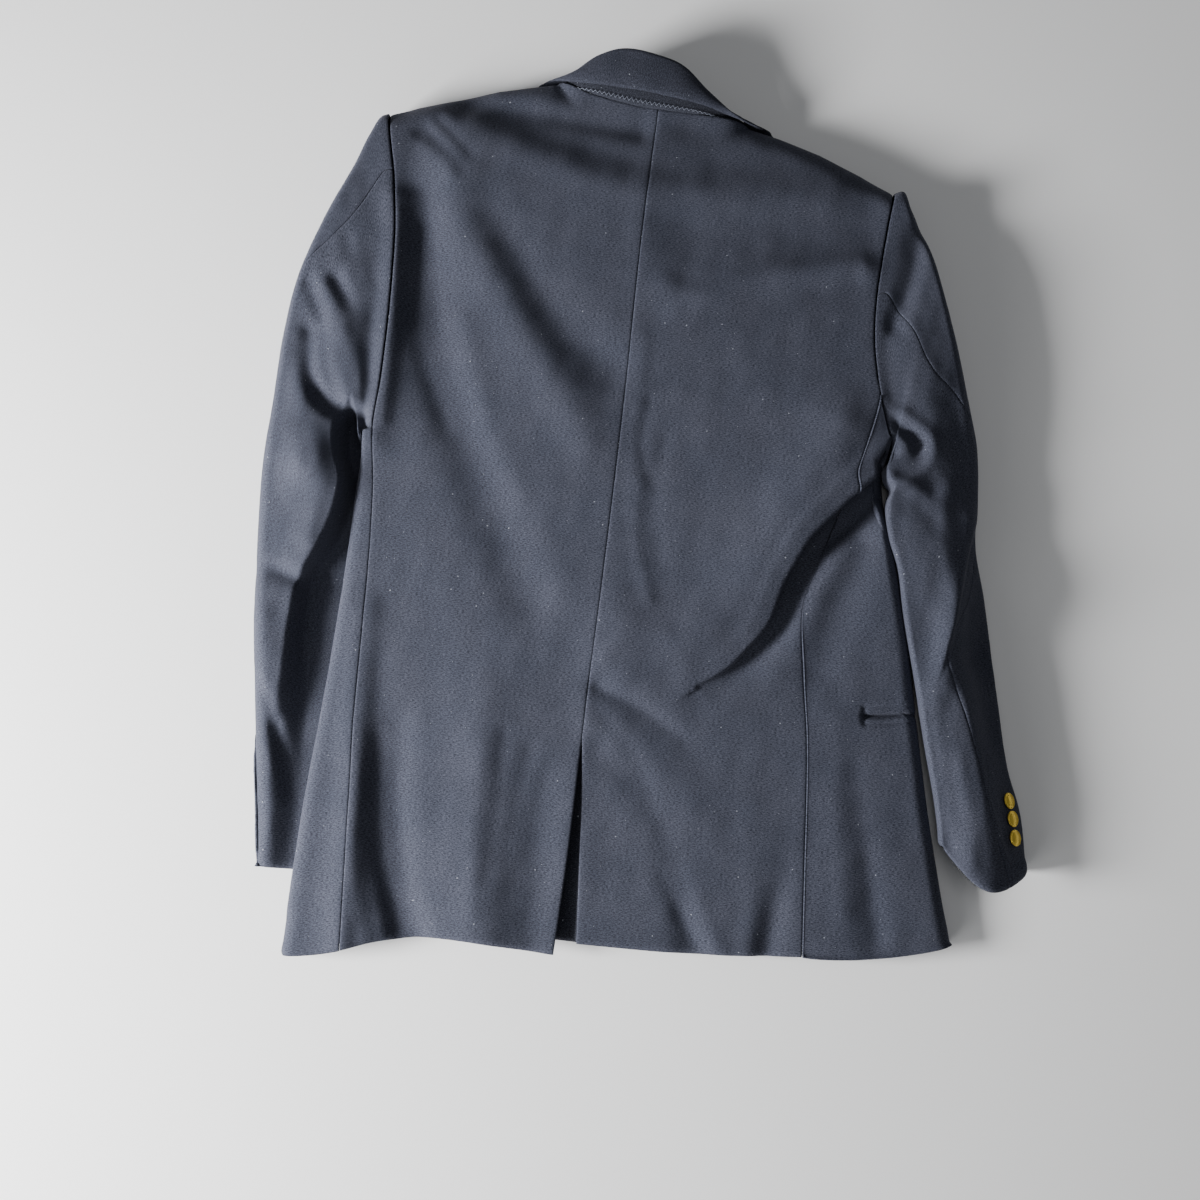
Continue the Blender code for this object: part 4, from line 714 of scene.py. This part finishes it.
def hem_bow_share(place):
    return np.clip(np.sin(math.pi * place), 0.0, None) ** 0.7


def rolled_side(seam, edge, under, lift, v, hem_bow):
    """A panel that runs from a seam on top, round a side edge, to the underside."""
    s, e, u = (line(v)[:, None] for line in (seam, edge, under))
    out = np.sign(e[..., 0])
    top_run, under_run = np.abs(e[..., 0] - s[..., 0]), np.abs(e[..., 0] - u[..., 0])
    width = np.minimum(EDGE_ROUND, 0.55 * top_run) * (0.3 + 0.7 * ramp(v / 0.1)[:, None])
    low_width = np.minimum(EDGE_ROUND, 0.8 * under_run)
    z_low = lift(e[..., 0] - out * low_width, e[..., 1])
    height = back_loft(e[..., 0] - out * width, e[..., 1])
    z_mid = z_low + (height - z_low) * (1 - SIDE_MID)
    t = np.linspace(0.0, 1.0, 110)[None, :]
    d = top_run - SEAM_GAP + (width - top_run + SEAM_GAP) * t
    p = e + (s - e) * (d / top_run)[..., None]
    bow = hem_bow * ramp((v - 0.8) / 0.2)[:, None]
    p[..., 1] -= bow * hem_bow_share(d / top_run)
    top = hung(with_height(p, np.maximum(back_loft(p[..., 0], p[..., 1]), z_mid + 1)), ramp((d - width) / 10))
    angle = math.pi * (0.5 - np.linspace(0.0, 1.0, 40)[None, 1:])
    half = np.where(angle >= 0, height - z_mid, z_mid - z_low)
    d = np.where(angle >= 0, width, low_width) * (1 - np.cos(angle))
    slant = np.where(angle >= 0, d / top_run * (s - e)[..., 1], d / under_run * (u - e)[..., 1])
    slant = slant - bow * np.where(angle >= 0, hem_bow_share(d / top_run), 0.0)
    arc = np.dstack((e[..., 0] - out * d, e[..., 1] + slant, z_mid + half * np.sin(angle)))
    d = low_width + (under_run - SEAM_GAP - low_width) * t[:, 1:]
    p = e + (u - e) * (d / under_run)[..., None]
    return np.concatenate((top, arc, with_height(p, lift(p[..., 0], p[..., 1]))), axis=1)


def side_panel(name, side_points, armhole, edge_points, under_points, lift, hem_bow, gap, material):
    low = share_at(side_points, len(armhole) - 1)
    whole = curve(side_points)
    v = spaced(whole.length * (1 - low), gap=gap) / (whole.length * (1 - low))
    dense = rolled_side(lambda t: whole(low + (1 - low) * t), curve(edge_points), curve(under_points),
                        lift, v, hem_bow)
    return cloth(name, respace(dense, gap=gap), (60, 3), material)


def front(name, side_points, edge_points, top_points, hem_points, under, material):
    side = curve(side_points)
    plan = coons(side, curve(edge_points), curve(top_points), curve(hem_points),
                 down_shares(side.length, gap=FRONT_GRID), across_shares(200.0, gap=FRONT_GRID))
    return cloth(name, with_height(plan, front_face(plan[..., 0], plan[..., 1], under)), (100, 30), material,
                 edges=(SEAM, FREE, SEAM, HEM), up=-1.0, plan_grain=True)


def lapel(name, roll_points, outer_points, start, material):
    """A turned lapel, flat under its front."""
    v = np.linspace(start, 0.995, 110)[:, None, None]
    u = (spaced(60.0) / 60.0)[None, :, None]
    a, b = curve(roll_points)(v[:, 0, 0])[:, None], curve(outer_points)(v[:, 0, 0])[:, None]
    share = 0.02 + 0.97 * u
    points = a * (1 - share) + b * share
    return cloth(name, points, (50, 20), material, edges=(FREE,) * 4, wall=LAPEL_WALL, up=-1.0,
                 plan_grain=True)


# ---------------------------------------------------------------- the collar
def collar_lines(t):
    edge, roll, seam = (curve([getattr(row, part) for row in COLLAR]) for part in ("edge", "roll", "seam"))
    return edge(t), roll(t), seam(t)


def level_of(s, r):
    """1 where the collar stands up off the surface, 0 where it lies under the fronts."""
    return ramp((np.maximum(s[..., 2], r[..., 2]) - 3) / 6)


def collar_fall(material):
    """The outer collar: from its edge up over the roll, and turned in behind it."""
    t = np.linspace(0.0, 1.0, 190)
    e, r, s = (line[:, None] for line in collar_lines(t))
    inward = (s - r) * np.array([1.0, 1.0, 0.0])
    inward = inward / np.linalg.norm(inward, axis=2, keepdims=True)
    level = level_of(s, r)[..., None]
    up = np.array([0.0, 0.0, 1.0])
    k = np.linspace(0.0, 1.0, 50)[None, :, None]
    fall = e * (1 - k) + r * k + up * level * 1.8 * np.sin(math.pi * k ** 0.8)
    turn = np.linspace(0.0, 0.85 * math.pi, 14)[None, 1:, None]
    radius = 0.4 + 2.0 * level
    wrap = r - up * radius * (1 - np.cos(turn)) - inward * radius * 0.8 * np.sin(turn)
    points = respace(np.concatenate((fall, wrap), axis=1), EDGE_STEPS, (0.0, 1.0), COLLAR_GRID)
    points[..., 2] += 0.25 * ripple(points[..., 0], points[..., 1], 34, 8) * level[:, :, 0]
    points[..., 2] = np.maximum(points[..., 2], 0.0)
    return cloth("collar_fall_cloth", points, (95, 8), material, edges=(FREE, None, FREE, FREE),
                 wall=FALL_WALL)


STAND_FROM, STAND_TO = 0.295, 0.725     # shares of the collar's length
STAND_TUCK = 0.12      # the share of the stand below the neck seam, under the back
STAND_FOOT = (0.0, -3.0, -6.0)
STITCHES = 78
STITCH_LEVELS = (0.09, 0.02)            # shares of the stand's height
STITCH_RADIUS = 0.24


def stand_points(t, k):
    """Points of the stand: t along the collar, k from the neck seam (0) to the fall (1)."""
    _, r, s = (line[:, None] for line in collar_lines(t))
    up = np.array([0.0, 0.0, 1.0])
    below = np.clip(-k, 0.0, None) / STAND_TUCK
    k = np.maximum(k, 0.0)
    return (s + up * 0.7) * (1 - k) + (r - up * 4.4) * k + np.array(STAND_FOOT) * below


def collar_stand(material):
    """The collar's stand, from the neck seam up inside the fall."""
    t, k = np.linspace(STAND_FROM, STAND_TO, 120), np.linspace(-STAND_TUCK, 0.9, 34)
    return cloth("collar_stand_cloth", stand_points(t, k[None, :, None]), (60, 12), material,
                 edges=(None,) * 4, wall=THIN_WALL)


def thread(name, path, radius, material):
    """A sewing thread along a path of points."""
    line = bpy.data.curves.new(name, "CURVE")
    line.dimensions = "3D"
    line.bevel_depth = radius * MM
    line.bevel_resolution = 1
    line.use_fill_caps = True
    spline = line.splines.new("POLY")
    spline.points.add(len(path) - 1)
    for point, (x, y, z) in zip(spline.points, path):
        point.co = ((x + PLAN_SHIFT[0]) * MM, (y + PLAN_SHIFT[1]) * MM, z * MM, 1.0)
    loose = placed(name + "_line", line)
    mesh = bpy.data.meshes.new_from_object(loose.evaluated_get(bpy.context.evaluated_depsgraph_get()))
    bpy.data.objects.remove(loose, do_unlink=True)
    mesh.name = name
    mesh.materials.clear()
    mesh.materials.append(material)
    mesh.shade_smooth()
    return placed(name, mesh)


def collar_stitches(material):
    """The zigzag that holds the stand's lower edge at the neck."""
    t = np.linspace(STAND_FROM + 0.012, STAND_TO - 0.012, STITCHES)
    k = np.where(np.arange(STITCHES) % 2 == 0, *STITCH_LEVELS)[:, None, None]
    path = stand_points(t, k)[:, 0] + np.array([0.0, -0.9, 1.0])
    return thread("collar_zigzag", path, STITCH_RADIUS, material)


# ---------------------------------------------------------------- sleeves
Shape = namedtuple("Shape", "rows ridge girth folds fine steps armhole hindarm side low cuff_dip inner_mid")
LEFT_SLEEVE = Shape(SLEEVE_LEFT, SLEEVE_RIDGE_LEFT, SLEEVE_GIRTH_LEFT, SLEEVE_FOLDS_LEFT, FINE_LEFT_FOLDS, (),
                    ARMHOLE_LEFT, HINDARM_LEFT, -1, 8.2, 0.0, 0.42)
RIGHT_SLEEVE = Shape(SLEEVE_RIGHT, (), SLEEVE_GIRTH_RIGHT, SLEEVE_FOLDS_RIGHT, FINE_RIGHT_FOLDS,
                     SLEEVE_STEPS, ARMHOLE_RIGHT[:-1] + ARMHOLE_LOW_RIGHT, HINDARM_RIGHT, 1, 9.0, 25.0, 0.88)
INNER_ROUND = 2.4      # of the right sleeve's inner edge, which lies sharp over the body
SOFT_ROUND = 9.0       # of the left sleeve's, and of both at the head
OUTER_MID = 0.42       # height of a sleeve's outer edge, as a share of the sleeve's height
LOWEST_TOP = 7.0
LEAST_HOLLOW = 4.5
HEAD_SHARE = 0.2       # down to here, the sleeve follows the armhole's bow
HEAD_BLEND = 0.16      # down to here, its height goes over from the back's to its own
LATE_FROM = 0.66       # from here to LATE_TO the left sleeve's ridge gets softer
LATE_TO = 0.82
SLEEVE_GAP = 0.05
CUFF_FROM = 0.82       # from here, the left sleeve's outer edge lifts over its buttons
CUFF_LIFT = 4.6
SLEEVE_LENGTH = 640.0
SLEEVE_POINTS = 260    # round a sleeve, before they are spaced


def sleeve_points(shape, v, s):
    """Points of a sleeve's outer face: v down its length, s once round from the outer edge."""
    v, s = np.broadcast_arrays(v, s % 1.0)
    on_top = s <= 0.5
    share = np.where(on_top, s * 2, (1 - s) * 2)
    q = 0.5 - 0.5 * np.cos(math.pi * share)
    ox, oy, ix, iy = (column(shape.rows, v, k) for k in (1, 2, 3, 4))
    armhole = curve(shape.armhole)
    ends = armhole(np.array([0.0, 1.0]))
    bow = armhole(q) - (ends[0] * (1 - q[..., None]) + ends[1] * q[..., None])
    head_bow = 1 - ramp(v / HEAD_SHARE)
    x = ox * (1 - q) + ix * q + bow[..., 0] * head_bow + shape.side * SLEEVE_GAP * (1 - ramp(v / 0.03))
    y = oy * (1 - q) + iy * q + bow[..., 1] * head_bow
    y = y - on_top * shape.cuff_dip * np.sin(math.pi * q) * ramp((v - 0.8) / 0.2)
    width = np.hypot(ix - ox, iy - oy)
    middle = column(shape.girth, v, 2)
    crown = np.where(q < 0.5, column(shape.girth, v, 1), column(shape.girth, v, 3))
    height = middle + (crown - middle) * ramp(np.abs(q - 0.5) * 2.4)
    head = 1 - ramp(v / HEAD_BLEND)
    height = height * (1 - head) + back_loft(x, y) * head
    waves = 0.4 * ripple(x, y, 48, 11) + 0.15 * ripple(x, y, 20, 12)
    height = height + (fold_height(shape.folds, x, y) + fold_height(shape.fine, x, y)
                       + step_height(shape.steps, x, y) + waves) * (1 - head)
    if shape.ridge:
        past = (follow(y, [p[1] for p in shape.ridge], [p[0] for p in shape.ridge]) - x) * shape.side
        late = ramp((v - LATE_FROM) / (LATE_TO - LATE_FROM))
        fall = ramp((past + 3 + 12 * late) / (13 + 14 * late)) * ramp((v - 0.2) / 0.12)
        height = height * (1 - fall) + np.minimum(height, shape.low) * fall
    height = np.maximum(height, LOWEST_TOP)
    middle = OUTER_MID + (shape.inner_mid - OUTER_MID) * ramp((q - 0.5) / 0.4)
    middle_z = middle * height * (1 - head) + SHOULDER_MID * head
    if shape.side < 0:
        outer_round, inner_round, inner_tuck = 15.0, np.minimum(SOFT_ROUND, height * 0.6), SOFT_ROUND
    else:
        outer_round, inner_round, inner_tuck = 16.0, INNER_ROUND + (SOFT_ROUND - INNER_ROUND) * head, 13.0
    outer_roll = quarter_round(q * width, outer_round)
    upper = middle_z + (height - middle_z) * (outer_roll * quarter_round((1 - q) * width, inner_round))
    lower = middle_z * (1 - outer_roll * quarter_round((1 - q) * width, inner_tuck))
    if shape.side < 0:
        lower = lower + CUFF_LIFT * ramp((v - CUFF_FROM) / 0.05) * ramp((30.0 / width - q) / 0.12)
    return np.dstack((x, y, np.where(on_top, upper, np.minimum(lower, height - LEAST_HOLLOW))))


def seam_share(table, v):
    return follow(v, [row[0] for row in table], [row[1] for row in table])


def sleeve_piece(name, shape, start, end, up_at, up, material):
    v = spaced(SLEEVE_LENGTH, gap=SLEEVE_GRID) / SLEEVE_LENGTH
    a, b = start(v)[:, None], end(v)[:, None]
    dense = sleeve_points(shape, v[:, None], a + (b - a) * np.linspace(0.0, 1.0, SLEEVE_POINTS)[None, :])
    rows = []
    for run, row in zip(run_along(dense, 1), dense):
        inner = np.linspace(SEAM_GAP, run[-1] - SEAM_GAP, SLEEVE_POINTS)
        rows.append(np.column_stack([np.interp(inner, run, row[:, k]) for k in range(3)]))
    return cloth(name, respace(np.array(rows), gap=SLEEVE_GRID), up_at, material, up=up)


def sleeve(label, shape, material):
    def hindarm(v):
        return seam_share(shape.hindarm, v)

    def forearm(v):
        return seam_share(FOREARM, v)

    def hindarm_again(v):
        return hindarm(v) + 1.0

    under = sleeve_piece("sleeve_under_%s_cloth" % label, shape, hindarm, forearm, (60, 20), 1.0, material)
    top = sleeve_piece("sleeve_top_%s_cloth" % label, shape, forearm, hindarm_again, (60, 8), -1.0, material)
    return under, top


# ---------------------------------------------------------------- pocket welts and buttons
def right_wrap(y, start, end, rise, lift):
    """Points round the right edge: along the top, round the edge and back under."""
    edge_y = y + rise * (x_at(EDGE_RIGHT, y) - start)
    edge_x = x_at(EDGE_RIGHT, edge_y)
    turn_x = edge_x - EDGE_ROUND
    low_reach = 0.8 * (edge_x - x_at(UNDER_SEAM_RIGHT, edge_y))
    height, low = back_loft(turn_x, edge_y), under_right(turn_x, edge_y)
    middle = low + (height - low) * (1 - SIDE_MID)
    x = np.linspace(start, turn_x, 24)[:-1]
    here = y + rise * (x - start)
    top = np.column_stack((x, here, back_loft(x, here) + lift))
    t = np.linspace(0.0, 1.0, 21)
    angle = math.pi * (0.5 - t)
    half = np.where(angle >= 0, height - middle, middle - low)
    reach = np.where(angle >= 0, EDGE_ROUND, low_reach)
    out = np.column_stack((np.cos(angle) * half, np.sin(angle) * reach))
    out = out / np.linalg.norm(out, axis=1, keepdims=True) * lift
    arc = np.column_stack((edge_x - reach * (1 - np.cos(angle)) + out[:, 0],
                           edge_y + rise * EDGE_ROUND * (2 * t - 1),
                           np.maximum(middle + half * np.sin(angle) + out[:, 1], WELT_FLOOR)))
    x = np.linspace(turn_x, end, 16)[1:]
    under = np.column_stack((x, edge_y + rise * (edge_x - x), np.full(len(x), WELT_FLOOR)))
    return np.concatenate((top, arc, under))


def welt(name, low, high, up_at, up, material):
    """A narrow folded strip between two lines of points."""
    share = np.array([0.0, 0.08, 0.2, 0.4, 0.6, 0.8, 0.92, 1.0])[None, :, None]
    points = low[:, None] * (1 - share) + high[:, None] * share
    return cloth(name, points, up_at, material, edges=(WELT_EDGE,) * 4, wall=WELT_WALL, up=up)


def pocket_welts(material):
    start, end, y_back, rise = POCKET_RIGHT
    x0, x1, y0, y1 = POCKET_LEFT
    made = {}
    for label, offset in (("upper", WELT_PART), ("lower", -WELT_PART - WELT_WIDTH)):
        low, high = (right_wrap(y_back + offset + w, start, end, rise, WELT_LIFT) for w in (0.0, WELT_WIDTH))
        made["pocket_welt_right_" + label] = welt("welt_right_" + label, low, high, (4, 3), 1.0, material)
        t = np.linspace(0.0, 1.0, 40)
        low = np.column_stack((x0 + (x1 - x0) * t, y0 + (y1 - y0) * t + offset, 0.25 + 0 * t))
        high = low + (0, WELT_WIDTH, 0)
        made["pocket_welt_left_" + label] = welt("welt_left_" + label, low, high, (4, 3), -1.0, material)
    return made


# a button's section: shares of its radius and of its thickness, from the back's middle
BUTTON_PROFILE = ((0.0, 0.06), (0.55, 0.06), (0.8, 0.12), (0.93, 0.3), (1.0, 0.52), (0.985, 0.72),
                  (0.93, 0.84), (0.87, 0.83), (0.83, 0.74), (0.78, 0.7), (0.73, 0.74), (0.6, 0.87),
                  (0.4, 0.96), (0.2, 0.995), (0.0, 1.0))
# shares down the sleeve of the first cuff button, and from each to the next
BUTTONS_RIGHT = (0.870, 0.0285)
BUTTONS_LEFT = (0.89, 0.0218)
BUTTON_ROUND = 0.125   # the share round the right sleeve
BUTTON_INSET = 12.5    # from the left sleeve's outer edge


def button(name, centre, normal, size, material):
    """A turned metal button: a rolled rim, a sunk ring and a low dome."""
    diameter, thick = size
    radius = diameter / 2
    bm = bmesh.new()
    ring = [bm.verts.new((r * radius * MM, 0.0, h * thick * MM)) for r, h in BUTTON_PROFILE]
    line = [bm.edges.new(pair) for pair in zip(ring, ring[1:])]
    bmesh.ops.spin(bm, geom=ring + line, axis=(0, 0, 1), cent=(0, 0, 0), steps=40, angle=2 * math.pi,
                   use_merge=True, use_duplicate=False)
    bmesh.ops.remove_doubles(bm, verts=bm.verts, dist=1e-7)
    bmesh.ops.recalc_face_normals(bm, faces=bm.faces)
    turn = Vector((0, 0, 1)).rotation_difference(Vector(normal)).to_matrix()
    bmesh.ops.rotate(bm, verts=bm.verts, cent=(0, 0, 0), matrix=turn)
    x, y, z = centre
    bmesh.ops.translate(bm, verts=bm.verts, vec=((x + PLAN_SHIFT[0]) * MM, (y + PLAN_SHIFT[1]) * MM, z * MM))
    return finished(name, bm, material)


def right_button_place(share):
    """A place on the right cuff and the direction its cloth faces."""
    around = sleeve_points(RIGHT_SLEEVE, share + np.array([[-0.012], [0.0], [0.012]]),
                           BUTTON_ROUND + np.array([[-0.02, 0.0, 0.02]]))
    normal = face_normals(around)[1, 1]
    normal = normal * np.sign(normal[2])
    return around[1, 1] + normal * 0.5, normal


def buttons(material):
    places = {}
    down = (0.0, 0.0, -1.0)
    for i in range(3):
        places["cuff_button_right_%d" % (i + 1)] = right_button_place(BUTTONS_RIGHT[0] + BUTTONS_RIGHT[1] * i)
        v = BUTTONS_LEFT[0] + BUTTONS_LEFT[1] * i
        x, y = column(SLEEVE_LEFT, v, 1) + BUTTON_INSET, column(SLEEVE_LEFT, v, 2)
        places["cuff_button_left_%d" % (i + 1)] = (x, y, CUFF_BUTTON[1] + 0.1), down
    for i, (x, y) in enumerate(FRONT_BUTTONS):
        places["front_button_%d" % (i + 1)] = (x, y, FRONT_BUTTON[1]), down
    made = {}
    for node, (centre, normal) in places.items():
        size = FRONT_BUTTON if node.startswith("front") else CUFF_BUTTON
        made[node] = button("brass_" + node.replace("_button", ""), centre, normal, size, material)
    return made


# ---------------------------------------------------------------- finishes
GRAIN_TONE = (0.16, 0.17, 0.22, 1.0)
CLOUD_TONE = (0.86, 0.88, 0.9, 1.0)
FLECK_TONE = (0.42, 0.44, 0.5, 1.0)


def plain(name, numbers):
    """A material with these values on its shader's own sockets."""
    material = bpy.data.materials.new(name)
    material.use_nodes = True
    shader = material.node_tree.nodes["Principled BSDF"]
    for label, value in numbers.items():
        shader.inputs[label].default_value = value
    return material


def wool(name, deep, pale, seed):
    """Navy worsted: short streaks across the cloth, a fine weave and a few pale specks."""
    material = plain(name, {
        "Roughness": 0.85, "Specular IOR Level": 0.15,
        "Sheen Weight": 0.10, "Sheen Roughness": 0.45, "Sheen Tint": (0.72, 0.72, 0.86, 1.0)})
    nodes, links = material.node_tree.nodes, material.node_tree.links
    shader = nodes["Principled BSDF"]
    run = nodes.new("ShaderNodeUVMap")

    def noise_at(scale, size, detail, shift=0.0):
        spread = nodes.new("ShaderNodeMapping")
        spread.inputs["Scale"].default_value = scale
        spread.inputs["Location"].default_value = (seed * 0.37 + shift, seed * 0.61, 0.0)
        texture = nodes.new("ShaderNodeTexNoise")
        texture.inputs["Scale"].default_value = size
        texture.inputs["Detail"].default_value = detail
        texture.inputs["Roughness"].default_value = 0.6
        links.new(run.outputs["UV"], spread.inputs["Vector"])
        links.new(spread.outputs["Vector"], texture.inputs["Vector"])
        return texture.outputs["Fac"]

    def mix(kind, a, b, factor):
        node = nodes.new("ShaderNodeMix")
        node.data_type = "RGBA"
        node.blend_type = kind
        for socket, value in (("A_Color", a), ("B_Color", b), ("Factor_Float", factor)):
            target = next(s for s in node.inputs if s.identifier == socket)
            if isinstance(value, (tuple, float)):
                target.default_value = value
            else:
                links.new(value, target)
        return next(s for s in node.outputs if s.identifier == "Result_Color")

    def stepped(value, low, high, low_out=0.0, high_out=1.0):
        node = nodes.new("ShaderNodeMapRange")
        labels = ("From Min", "From Max", "To Min", "To Max")
        for label, number in zip(labels, (low, high, low_out, high_out)):
            node.inputs[label].default_value = number
        links.new(value, node.inputs["Value"])
        return node.outputs["Result"]

    streaks = noise_at((1.0, 3.0, 1.0), 430.0, 3.0)
    grain = noise_at((1.0, 1.4, 1.0), 1100.0, 1.0, 3.0)
    cloud = noise_at((1.0, 1.0, 1.0), 22.0, 3.0, 5.0)
    flecks = noise_at((1.0, 1.0, 1.0), 420.0, 0.0, 9.0)
    colour = mix("MIX", deep + (1.0,), pale + (1.0,), stepped(streaks, 0.32, 0.68))
    colour = mix("MIX", colour, GRAIN_TONE, stepped(grain, 0.52, 0.74, 0.0, 0.42))
    colour = mix("MULTIPLY", colour, CLOUD_TONE, stepped(cloud, 0.35, 0.65))
    colour = mix("MIX", colour, FLECK_TONE, stepped(flecks, 0.86, 0.88, 0.0, 0.6))
    links.new(colour, shader.inputs["Base Color"])
    bump = nodes.new("ShaderNodeBump")
    bump.inputs["Strength"].default_value = 0.22
    bump.inputs["Distance"].default_value = 0.0006
    links.new(mix("ADD", streaks, grain, 0.6), bump.inputs["Height"])
    links.new(bump.outputs["Normal"], shader.inputs["Normal"])
    return material


def mottle(material, scale, dark, light, detail=2.0):
    """Give a material a colour that wanders between two tones; its noise is returned."""
    nodes, links = material.node_tree.nodes, material.node_tree.links
    where = nodes.new("ShaderNodeTexCoord")
    texture = nodes.new("ShaderNodeTexNoise")
    texture.inputs["Scale"].default_value = scale
    texture.inputs["Detail"].default_value = detail
    tone = nodes.new("ShaderNodeValToRGB")
    tone.color_ramp.elements[0].color = dark + (1.0,)
    tone.color_ramp.elements[1].color = light + (1.0,)
    links.new(where.outputs["Object"], texture.inputs["Vector"])
    links.new(texture.outputs["Fac"], tone.inputs["Fac"])
    links.new(tone.outputs["Color"], nodes["Principled BSDF"].inputs["Base Color"])
    return texture


def gilt(name):
    """Bright yellow gilt, slightly worn."""
    material = plain(name, {"Metallic": 0.7})
    texture = mottle(material, 900.0, (0.86, 0.56, 0.05), (1.0, 0.76, 0.12), 3.0)
    nodes, links = material.node_tree.nodes, material.node_tree.links
    rough = nodes.new("ShaderNodeMapRange")
    rough.inputs["To Min"].default_value = 0.22
    rough.inputs["To Max"].default_value = 0.42
    links.new(texture.outputs["Fac"], rough.inputs["Value"])
    links.new(rough.outputs["Result"], nodes["Principled BSDF"].inputs["Roughness"])
    return material


def spun(name, colour):
    """Sewing thread, a little uneven in tone."""
    material = plain(name, {"Roughness": 0.6})
    mottle(material, 700.0, tuple(c * 0.6 for c in colour), tuple(min(1.0, c * 1.3) for c in colour))
    return material


# ---------------------------------------------------------------- floor, light and camera
CAMERA_AT = (-0.0200, -0.24517, 1.16852)
CAMERA_TURN = (8.0, 0.0, 6.8715)
CAMERA_LENS = 40.0
FLOOR_HALF = 6.0
FLOOR_TONE = (0.96, 0.96, 0.96, 1.0)
SKY = 0.12
SKY_TONE = (0.93, 0.96, 1.0, 1.0)
Lamp = namedtuple("Lamp", "name place size power")
LAMPS = (Lamp("window", (-1.45, -0.62, 0.56), (0.6, 0.4), 88.0),
         Lamp("low window", (-0.6, -1.3, 0.5), (0.8, 0.4), 7.0),
         Lamp("ceiling", (0.3, 0.2, 2.2), (1.4, 1.4), 5.0))


def studio():
    bm = bmesh.new()
    bmesh.ops.create_grid(bm, x_segments=1, y_segments=1, size=FLOOR_HALF)
    floor_look = plain("pale floor", {"Base Color": FLOOR_TONE, "Roughness": 0.9})
    finished("floor", bm, floor_look)
    world = bpy.data.worlds.new("soft sky")
    bpy.context.scene.world = world
    world.use_nodes = True
    world.node_tree.nodes["Background"].inputs["Color"].default_value = SKY_TONE
    world.node_tree.nodes["Background"].inputs["Strength"].default_value = SKY
    for lamp in LAMPS:
        light = bpy.data.lights.new(lamp.name, "AREA")
        light.shape = "RECTANGLE"
        light.size, light.size_y = lamp.size
        light.energy = lamp.power
        obj = placed(lamp.name, light)
        obj.location = lamp.place
        obj.rotation_euler = (-Vector(lamp.place)).to_track_quat("-Z", "Y").to_euler()
    camera = bpy.data.cameras.new("camera")
    camera.lens = CAMERA_LENS
    camera.sensor_width = 36.0
    camera.clip_start = 0.02
    obj = placed("camera", camera)
    obj.location = CAMERA_AT
    obj.rotation_euler = [math.radians(a) for a in CAMERA_TURN]
    bpy.context.scene.camera = obj


# ---------------------------------------------------------------- the whole jacket
# cut of each sheet in metres: width, length, area, and what it lies on
Cut = namedtuple("Cut", "width length area rests_on")

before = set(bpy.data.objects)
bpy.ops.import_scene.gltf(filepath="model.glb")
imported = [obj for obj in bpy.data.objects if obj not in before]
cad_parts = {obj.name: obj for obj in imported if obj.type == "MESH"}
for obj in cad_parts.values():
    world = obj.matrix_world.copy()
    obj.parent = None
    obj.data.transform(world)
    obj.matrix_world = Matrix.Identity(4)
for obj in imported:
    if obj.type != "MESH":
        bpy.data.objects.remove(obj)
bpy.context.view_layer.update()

navy = wool("navy melange wool", (0.010, 0.012, 0.020), (0.083, 0.088, 0.119), 1.0)
navy_side = wool("navy melange wool side", (0.010, 0.012, 0.020), (0.081, 0.086, 0.117), 2.0)
# the collar's wool is the back's navy at about half its brightness: painted shade for the dimmer light at the
# top
navy_collar_painted_shade = wool("navy melange wool collar painted shade", (0.006, 0.007, 0.012), (0.042, 0.045, 0.063), 3.0)
# darker still, for the collar's stand and the vent underlay: painted shade where they lie under the collar's
# fall and the left vent flap
navy_painted_deep_shade = wool("navy melange wool painted deep shade", (0.005, 0.006, 0.010), (0.036, 0.038, 0.051), 4.0)
gold = gilt("gilt brass")
stitching = spun("pale blue thread", (0.21, 0.23, 0.29))

jacket = {
    "back_left": back_left(navy),
    "back_right": back_right(navy),
    "side_left": side_panel("side_left_panel", BACK_SIDE_LEFT, ARMHOLE_LEFT, EDGE_LEFT, UNDER_SEAM_LEFT,
                            under_left, 2.0, GRID, navy_side),
    "side_right": side_panel("side_right_panel", BACK_SIDE_RIGHT, ARMHOLE_RIGHT, EDGE_RIGHT, UNDER_SEAM_RIGHT,
                             under_right, 6.0, FINE_GRID, navy_side),
    "front_left": front("front_left_panel", FRONT_SIDE_LEFT, FRONT_EDGE_LEFT,
                        SHOULDER_LEFT[:-1] + FRONT_EDGE_LEFT[:1], FRONT_HEM_LEFT, under_left, navy),
    "front_right": front("front_right_panel", FRONT_SIDE_RIGHT, FRONT_EDGE_RIGHT,
                         tuple(reversed(SHOULDER_RIGHT)), FRONT_HEM_RIGHT, under_right, navy),
    "lapel_left": lapel("lapel_left_cloth", ROLL_LEFT, LAPEL_OUTER_LEFT, 0.06, navy),
    "lapel_right": lapel("lapel_right_cloth", ROLL_RIGHT, LAPEL_OUTER_RIGHT, 0.33, navy),
    "collar_fall": collar_fall(navy_collar_painted_shade),
    "collar_stand": collar_stand(navy_painted_deep_shade),
}
jacket["sleeve_under_left"], jacket["sleeve_top_left"] = sleeve("left", LEFT_SLEEVE, navy)
jacket["sleeve_under_right"], jacket["sleeve_top_right"] = sleeve("right", RIGHT_SLEEVE, navy)
# the underlay's cloth is darkened to paint the shadow of the left vent flap
underlay = vent_underlay(navy_painted_deep_shade)
zigzag = collar_stitches(stitching)
welts = pocket_welts(navy_side)
brass = buttons(gold)
studio()

for node, piece in {**jacket, **welts, **brass}.items():
    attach(piece, "root")
    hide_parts(node)
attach(underlay, "root")
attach(zigzag, "root")
